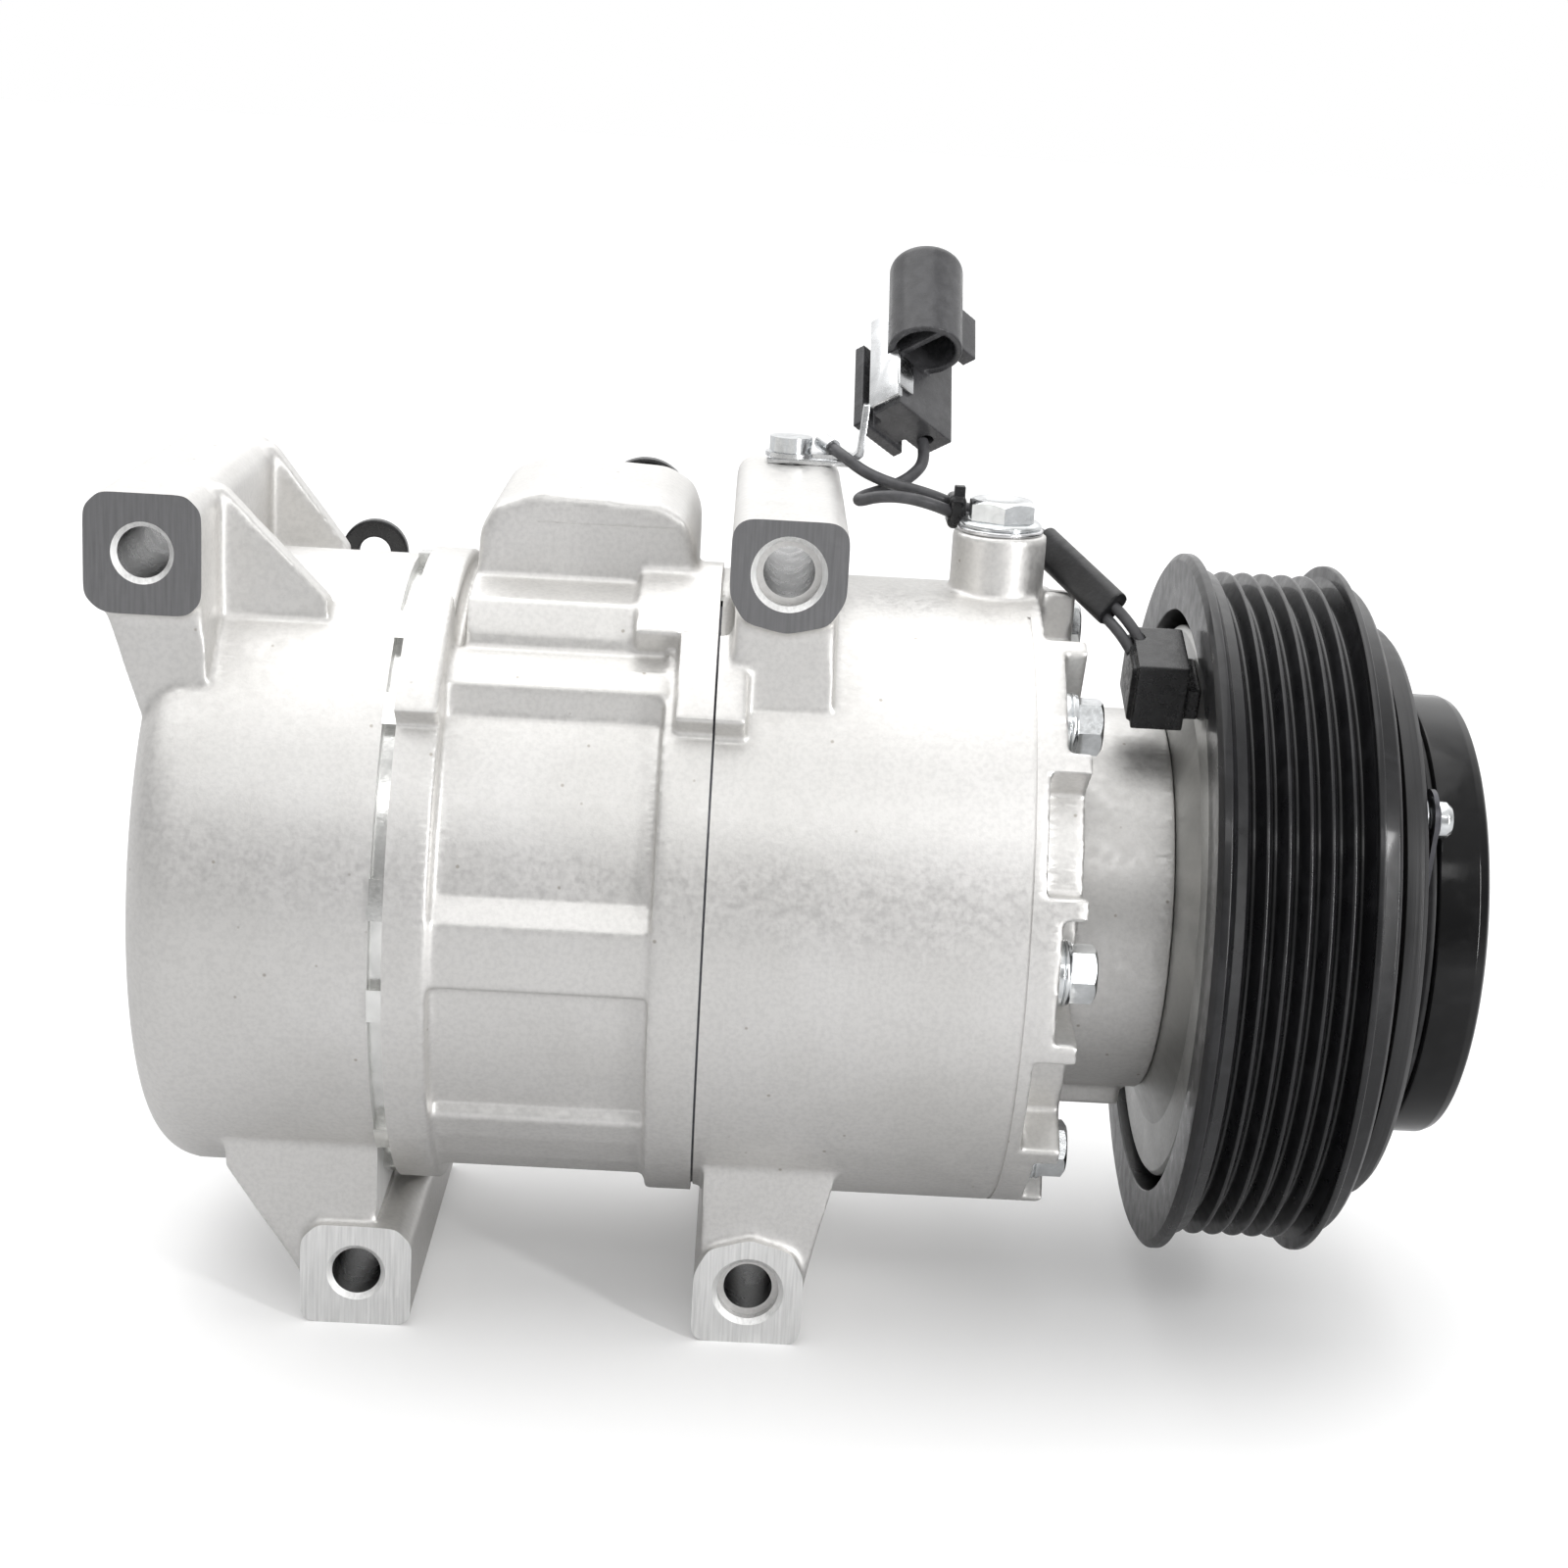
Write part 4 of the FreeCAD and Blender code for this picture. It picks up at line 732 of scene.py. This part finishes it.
def make_rear_housing():
    upper, lower = place_of("ear_rear_upper"), place_of("ear_rear_lower")
    piece = soft_copy("rear_housing_casting", "rear_housing", VOXEL, 1.15,
                      ear_growth() + [(0, REAR_SEAM, 2.0, lambda p: math.hypot(p.y, p.z) < 56)],
                      REAR_RADII,
                      [ear_plug(*upper, 4.6), ear_plug(*lower, 4.6)],
                      [(near_ear(*upper), 1.9), (near_ear(*lower), 1.5)])
    tools = ear_trim(*upper) + ear_trim(*lower)
    tools.append(block("cutter", (REAR_SEAM, -60, -54.2), (REAR_SEAM + 8, 60, 60)))
    tools += [bore_cutter(MOUNTS[name]) for name in ("ear_rear_upper", "ear_rear_lower")]
    cut(piece, tools)
    thin_out(piece, CASTING_SHARE, REAR_RADII)
    # The upper ears' faces take painted shade (grey milled), the lower ones pale milled.
    paint_faces(piece, CASTING_LOOKS,
                casting_faces([(*upper, True), (*lower, False)], [REAR_SEAM]))
    finish(piece, "housing", None, ["rear_housing"], 32)


def make_cylinder_block():
    rear, front = low("cylinder_block").x, high("cylinder_block").x
    piece = soft_copy("cylinder_block_casting", "cylinder_block", VOXEL, 1.0,
                      [(0, rear, -2.0, anywhere), (0, front, 2.0, anywhere)], BLOCK_RADII, (),
                      [(dome_weight, 2.6)])
    dome_line = block("cutter", (-130, -20, 66.2), (-103, -15.85, 66.5))
    tools = [block("cutter", (rear - 8, -80, -80), (rear, 80, 80)),
             block("cutter", (front, -80, -80), (front + 8, 80, 80)),
             dome_line]
    cut(piece, tools)
    thin_out(piece, CASTING_SHARE, BLOCK_RADII)
    paint_faces(piece, CASTING_LOOKS, casting_faces([], [rear, front]))
    finish(piece, "housing", None, ["cylinder_block"], 32)


def make_front_housing():
    upper, lower = place_of("ear_front_upper"), place_of("ear_front_lower")
    piece = soft_copy("front_housing_casting", "front_housing", VOXEL, 1.05,
                      ear_growth() + [(0, FRONT_SEAM, -2.0, anywhere)], FRONT_RADII,
                      [ear_plug(*upper, 5.8), ear_plug(*lower, 5.8)],
                      [(near_ear(*upper), 1.9), (near_ear(*lower), 1.5)])
    tools = ear_trim(*upper) + ear_trim(*lower)
    tools.append(block("cutter", (FRONT_SEAM - 6, -80, -53.5), (FRONT_SEAM, 80, 54)))
    tools += [bore_cutter(MOUNTS[name], SLEEVE_RADIUS, SLEEVE_DEPTH)
              for name in ("ear_front_upper", "ear_front_lower")]
    groove_back, groove_front, groove_floor = -44.8, -44.25, 55.7
    tools.append(arc_cutter(groove_back, groove_front, groove_floor, 60, 105, 435, 130))
    cut(piece, tools)
    thin_out(piece, CASTING_SHARE, FRONT_RADII)
    # The upper ears' faces take painted shade (grey milled), the lower ones pale milled.
    paint_faces(piece, CASTING_LOOKS,
                casting_faces([(*upper, True), (*lower, False)], [FRONT_SEAM]))
    finish(piece, "housing", None, ["front_housing"], 32)


# ---------------------------------------------------------------- fasteners

def hex_bolt(name, along, place, flange, across, head, shank, length, seat=1.2):
    """A hexagon flange bolt. The axis along points from the shank out through the head."""
    count = 48
    turn = Vector((1, 0, 0)).rotation_difference(Vector(along)).to_matrix()
    apothem = across / 2
    chamfer = apothem * 0.95

    def ring(height, radius):
        return [Vector((height, radius * math.cos(2 * math.pi * i / count),
                        radius * math.sin(2 * math.pi * i / count))) for i in range(count)]

    def hexagon(height, slope):
        points = []
        for i in range(count):
            angle = 2 * math.pi * i / count
            radius = apothem / math.cos((angle % (math.pi / 3)) - math.pi / 6) * 0.995
            drop = max(0.0, radius - chamfer) * slope
            points.append(Vector((height - drop, radius * math.cos(angle), radius * math.sin(angle))))
        return points

    top = seat + head
    loops = [[Vector((-length, 0, 0))], ring(-length, shank * 0.8), ring(-length + 0.8, shank),
             ring(-0.02, shank), ring(0, shank + 0.1), ring(0, flange - 0.25), ring(0.25, flange),
             ring(seat * 0.5, flange),
             ring(seat * 0.72, flange - 0.2), ring(seat, apothem * 1.2), hexagon(seat + 0.15, 0),
             hexagon(top - 0.12, 0.62), ring(top - 0.02, chamfer - 0.1), ring(top, chamfer - 0.35),
             ring(top, apothem * 0.62), ring(top - 0.35, apothem * 0.5), [Vector((top - 0.38, 0, 0))]]
    placed = [[Vector(place) + turn @ point for point in loop] for loop in loops]
    return loft(name, placed)


def bolt_places():
    """Y and Z of the through bolts, evenly spaced on their circle as in the CAD."""
    places = []
    for i in range(BOLT_COUNT):
        angle = math.radians(FIRST_BOLT + 360 / BOLT_COUNT * i)
        places.append((-BOLT_CIRCLE * math.cos(angle), BOLT_CIRCLE * math.sin(angle)))
    return places


def make_through_bolts():
    washer_front = high("bolt_washers").x
    for i, (y, z) in enumerate(bolt_places()):
        bolt = hex_bolt(f"through_bolt_{i}", (1, 0, 0), (washer_front, y, z), 5.6, 8.8, 4.4, 3.0,
                        washer_front - low("through_bolts").x)
        finish(bolt, "housing", "zinc", ["through_bolts"])
        outline = [(washer_front - 1.0, 3.2), (washer_front - 1.0, 5.6),
                   (washer_front, 5.6), (washer_front, 3.2)]
        washer = lathe(f"through_bolt_washer_{i}", rounded(outline, 0.2), "X", (0, y, z), 48)
        finish(washer, "housing", "zinc", ["bolt_washers"])


def make_oil_plug():
    box_low, box_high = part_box("plug_washer")
    centre = (box_low + box_high) / 2 / MM
    seat = box_high.z / MM
    plug = hex_bolt("oil_plug_bolt", (0, 0, 1), (centre.x, centre.y, seat), 7.2, 11.0, 3.7, 4.0, 13, 1.2)
    finish(plug, "housing", "zinc", ["oil_plug"])
    outline = [(seat - 0.8, 4.2), (seat - 0.8, 7.6), (seat, 7.6), (seat, 4.2)]
    washer = lathe("oil_plug_washer", rounded(outline, 0.3), "Z", (centre.x, centre.y, 0), 64)
    finish(washer, "housing", "tin", ["plug_washer"])


# ---------------------------------------------------------------- clutch

PITCH = 3.56                        # of the belt's grooves
GROOVES = 6
THIRD = 120                         # degrees between the clutch's three slots, and its three rivets
RIVET_CIRCLE, FIRST_RIVET = 45.2, 37.5


def make_pulley():
    back, front = PULLEY_BACK, PULLEY_FRONT
    crest, root, rim_back, rim_front = 60.3, 57.2, 63.2, 62.3
    outline = [(back, 53.0), (back, rim_back - 1.2), (back + 0.8, rim_back), (back + 2.2, rim_back),
               (-3 * PITCH - 1.6, crest + 0.6)]
    for i in range(GROOVES):
        middle = (i - (GROOVES - 1) / 2) * PITCH
        outline += [(middle - 1.48, crest), (middle - 0.36, root),
                    (middle + 0.36, root), (middle + 1.48, crest)]
    outline += [(3 * PITCH - 0.2, rim_front), (3 * PITCH + 1.0, rim_front),
                (3 * PITCH + 1.3, rim_front - 3.2), (front - 0.6, rim_front - 3.4),
                (front, rim_front - 4), (front, 37), (front - 2, 34.8),
                (11.5, 34.6), (11.5, 31), (-10.5, 31), (-10.5, 35), (7.5, 35), (7.5, 53.0)]
    piece = lathe("pulley_wheel", rounded(outline, 0.42, 3), "X", (0, 0, 0), 240)
    for i in range(3):
        cut(piece, [arc_cutter(5, 20, 43.2, 45.5, THIRD * i - 42, THIRD * i + 42)])
    finish(piece, "pulley", "pulley_black", ["pulley"], 30)


def arc_cutter(start, end, inner, outer, first, last, steps=40):
    """A curved slot's cutter between two angles."""
    loops = []
    for i in range(steps + 1):
        angle = math.radians(first + (last - first) * i / steps)
        loops.append([(x, -r * math.cos(angle), r * math.sin(angle))
                      for x, r in ((start, inner), (start, outer), (end, outer), (end, inner))])
    bm = bmesh.new()
    rings = [[bm.verts.new(Vector(point) * MM) for point in loop] for loop in loops]
    for one, two in zip(rings, rings[1:]):
        for i in range(4):
            j = (i + 1) % 4
            bm.faces.new((one[i], one[j], two[j], two[i]))
    bm.faces.new(rings[0])
    bm.faces.new(rings[-1])
    return from_bmesh("cutter", bm)


def make_armature():
    back, front, edge = ARMATURE_BACK, ARMATURE_FRONT, 51.8
    outline = [(back, 24), (back, edge - 2.3), (back + 1.8, edge - 2.3), (back + 1.8, edge),
               (front - 1, edge), (front, edge - 1), (front, 24)]
    piece = lathe("armature_disc", rounded(outline, 0.3, 3), "X", (0, 0, 0), 200)
    for i in range(3):
        cut(piece, [arc_cutter(back - 2, front + 2, 37.2, 39.5, THIRD * i + 50, THIRD * i + 130)])
    finish(piece, "armature", "armature_black", ["armature_plate"], 30)
    for i in range(3):
        angle = math.radians(THIRD * i + FIRST_RIVET)
        y, z = -RIVET_CIRCLE * math.cos(angle), RIVET_CIRCLE * math.sin(angle)
        head = 24.2
        outline = [(front, 0), (front, 4), (head - 1.8, 4), (head - 1.8, 2), (head, 2), (head, 3.2),
                   (head + 1.6, 3.2), (head + 2.5, 2.4), (head + 2.9, 1.2), (head + 2.9, 0)]
        rivet = lathe(f"armature_rivet_{i}", rounded(outline, 0.35, 3, False), "X", (0, y, z), 40)
        finish(rivet, "armature", "zinc", ["armature_rivets"])


def make_hub():
    hub_front, back = high("clutch_hub").x, 22.9
    outline = [(12.6, 7.05), (12.6, 12.5), (back - 0.6, 12.5), (back + 0.8, 16), (back + 0.8, 38.5),
               (hub_front - 0.8, 39.4), (hub_front, 39.4), (hub_front, 7.05)]
    hub = lathe("hub_flange", rounded(outline, 0.5, 3), "X", (0, 0, 0), 144)
    finish(hub, "shaft", "hub_black", ["clutch_hub"], 30)
    front, edge = COVER_FRONT, 40.0
    outline = [(hub_front, edge - 2.4), (hub_front, edge - 0.4), (hub_front + 0.5, edge),
               (front - 2.2, edge),
               (front - 0.7, edge - 0.6), (front, edge - 2.2), (front, 26), (front - 2.2, 24),
               (front - 2.2, 12), (front - 4, 12), (front - 4, 25), (front - 2, 27),
               (front - 2, edge - 2.6)]
    cover = lathe("hub_cover_cup", rounded(outline, 1.1, 4), "X", (0, 0, 0), 200)
    finish(cover, "shaft", "cover_black", ["hub_cover"], 30)
    nut = hex_bolt("hub_nut_hex", (1, 0, 0), (hub_front + 1.2, 0, 0), 8.0, 14.0, 5.0, 4.2, 0.9, 1.0)
    finish(nut, "shaft", "zinc", ["hub_nut"])


def make_coil():
    back, inner, outer, nose = PULLEY_BACK + 1.1, 37.0, 50.3, low("coil_shell").x
    outline = [(nose, 20.1), (nose + 1.9, 20.1), (nose + 1.9, 33), (back + 2, inner),
               (5, inner), (5, inner + 2), (back + 2.4, inner + 2), (back + 2.4, outer - 2),
               (5, outer - 2), (5, outer), (back + 0.8, outer), (back, outer - 0.8),
               (back, inner + 4), (nose, 34)]
    shell = lathe("coil_shell_cup", rounded(outline, 0.5, 3), "X", (0, 0, 0), 200)
    finish(shell, "housing", "shell_grey", ["coil_shell"], 30)


# ---------------------------------------------------------------- plastics, lead and connector

MOULDING_SHARE = 0.3


def make_moulding(name, node, material, voxel=0.22, softness=0.45):
    """A plastic or rubber piece: the CAD shape with small moulded radii."""
    piece = soft_copy(name, node, voxel, softness)
    thin_out(piece, MOULDING_SHARE)
    finish(piece, "housing", material, [node], 50)


COIL_LEAD = [(-62.4, 27.6, 77.6), (-61.6, 24.5, 74.6), (-64.4, 20.5, 71.8), (-68.9, 17.0, 70.0),
             (-73.4, 13.2, 69.1), (-74.6, 9.2, 68.6), (-70.7, 7.0, 70.2), (-65.9, 6.2, 70.4),
             (-61.0, 6.6, 69.3), (-56.8, 9.4, 67.4), (-50.6, 12.6, 65.2), (-45.0, 11.6, 63.2),
             (-40.5, 7.0, 61.4)]
GROUND_LEAD = [(-79.8, 23.4, 76.4), (-77.2, 19.0, 75.4), (-73.5, 16.6, 73.0), (-68.7, 13.6, 71.6),
               (-63.3, 11.0, 70.8), (-59.4, 10.4, 69.8), (-56.1, 12.4, 68.2), (-49.8, 15.0, 66.8),
               (-43.6, 13.2, 65.6), (-38.8, 7.0, 63.6)]
BOX_LEADS = [[(-29.9, -8.6, 56.2), (-26.6, -11.0, 53.8), (-24.6, -13.2, 50.4)],
             [(-31.0, -8.6, 54.0), (-28.0, -12.0, 51.8), (-26.2, -14.0, 48.8)]]


def make_wire(name, route, radius, node):
    curve = bpy.data.curves.new(name, "CURVE")
    curve.dimensions = "3D"
    curve.bevel_depth = radius * MM
    curve.bevel_resolution = 6
    curve.resolution_u = 12
    curve.use_fill_caps = True
    spline = curve.splines.new("NURBS")
    spline.points.add(len(route) - 1)
    for point, place in zip(spline.points, route):
        point.co = (*(Vector(place) * MM), 1)
    spline.order_u = 3
    spline.use_endpoint_u = True
    finish(new_object(name, curve), "housing", "wire", [node])


def make_leads():
    make_wire("coil_lead_wire", COIL_LEAD, 1.1, "coil_lead")
    make_wire("ground_lead_wire", GROUND_LEAD, 1.1, "ground_lead")
    for i, route in enumerate(BOX_LEADS):
        make_wire(f"box_lead_{i}", route, 0.99, "box_leads")


CONNECTOR_CORNER = (-67.4, 20, 85.6)
CUP_CENTRE = (2.6, -3.6, 0)         # from the connector's corner, across its axis


def connector_place():
    """Where the connector stands: its corner, leaning back 45 degrees and turned 47."""
    lean = Matrix.Rotation(math.radians(-45), 4, "X") @ Matrix.Rotation(math.radians(47), 4, "Z")
    return Matrix.Translation(Vector(CONNECTOR_CORNER) * MM) @ lean


def cup_tube(name, start, end, outer, inner=0.0):
    """A tube, or a rod with no inner radius, on the axis of the connector's cup."""
    outline = [(start, inner), (start, outer), (end, outer), (end, inner)]
    tube = lathe(name, outline, "Z", CUP_CENTRE, 72)
    tube.data.transform(connector_place())
    return tube


def make_connector():
    """The CAD connector with the cup's full round wall joined to it."""
    piece = soft_copy("connector_moulding", "connector_housing", 0.2, 0.3,
                      plugs=[cup_tube("cup", 11.5, 24, 6.85, 5.5)])
    thin_out(piece, MOULDING_SHARE)
    finish(piece, "housing", "connector_plastic", ["connector_housing"], 50)


def make_bracket():
    """The sheet-steel bracket: a plate and lip beside the connector, and a strap to the screw."""
    where = connector_place()
    foot = [(-91, 72.9), (-76, 72.9), (-74.7, 74.05), (-75.5, 75.05), (-76.5, 74.1), (-91, 74.1)]
    riser = [(-76, 72.9), (-73.4, 75.2), (-72.7, 84.6), (-73.9, 84.6), (-74.6, 76), (-76.5, 74.1)]
    pieces = [block("plate", (-1.2, -0.45, 1), (-0.03, 6.3, 21), where),
              block("lip", (-1.2, -0.85, 3), (2.9, -0.1, 10), where),
              slab("foot", foot, 21.0, 6.8), slab("riser", riser, 20.0, 3.2)]
    cut(pieces[0], [cup_tube("cutter", 11.3, 24, 6.95)])
    bracket = merged("bracket_sheet", [bevelled(piece, 0.22) for piece in pieces])
    finish(bracket, "housing", "sheet_steel", ["connector_bracket"])


def dress_nodes():
    """Materials for the CAD nodes that stay as they are."""
    choice = {
        "gasket": ("rear_gasket",),
        "ground_steel": ("valve_plate", "suction_reed_plate", "discharge_reed_plate",
                         "reed_retainer", "piston_shoes", "drive_shaft", "lug_plate",
                         "swash_plate", "hinge_pin", "front_radial_bearing", "front_thrust_bearing",
                         "rear_radial_bearing", "rear_thrust_bearing",
                         "bearing_outer_race", "bearing_inner_race", "bearing_balls", "gap_shims"),
        "turned_pale": ("pistons",),
        "zinc": ("ground_screw", "hub_washer", "hub_rivets", "relief_valve"),
        "sheet_steel": ("ground_terminal",),
        "blued_steel": ("destroke_spring", "leaf_springs", "seal_snap_ring", "valve_snap_ring",
                        "bearing_snap_ring", "mid_gasket"),
        "brass": ("control_valve",),
        "resin": ("coil_winding",),
        "rubber": ("shaft_seal", "valve_seals", "bearing_shields"),
        "tin": ("connector_pin",),
    }
    for material, names in choice.items():
        for name in names:
            data = NODES[name].data
            data.materials.clear()
            data.materials.append(MATERIALS[material])


# ---------------------------------------------------------------- build

make_camera()
make_world()
make_materials()
make_floor()
make_sun("sky_panel", (-0.35, 0.1, 1.0), 70, 1.1)
make_light("strip", (330, -420, 160), (40, 420), 1.6, (30, 0, 0))
make_light("front_strip", (-60, -420, 330), (420, 60), 0.22, (-60, 0, 20))
dress_nodes()
make_rear_housing()
make_cylinder_block()
make_front_housing()
make_through_bolts()
make_oil_plug()
make_pulley()
make_armature()
make_hub()
make_coil()
make_moulding("terminal_box_moulding", "coil_terminal_box", "black_plastic")
make_connector()
make_moulding("cable_clip_moulding", "cable_clip", "black_plastic", 0.18, 0.35)
make_moulding("lead_sleeve_tube", "lead_sleeve", "sleeve", 0.2, 0.45)
make_moulding("discharge_cap_moulding", "discharge_port_cap", "black_plastic")
make_moulding("suction_cap_moulding", "suction_port_cap", "black_plastic")
make_leads()
make_bracket()
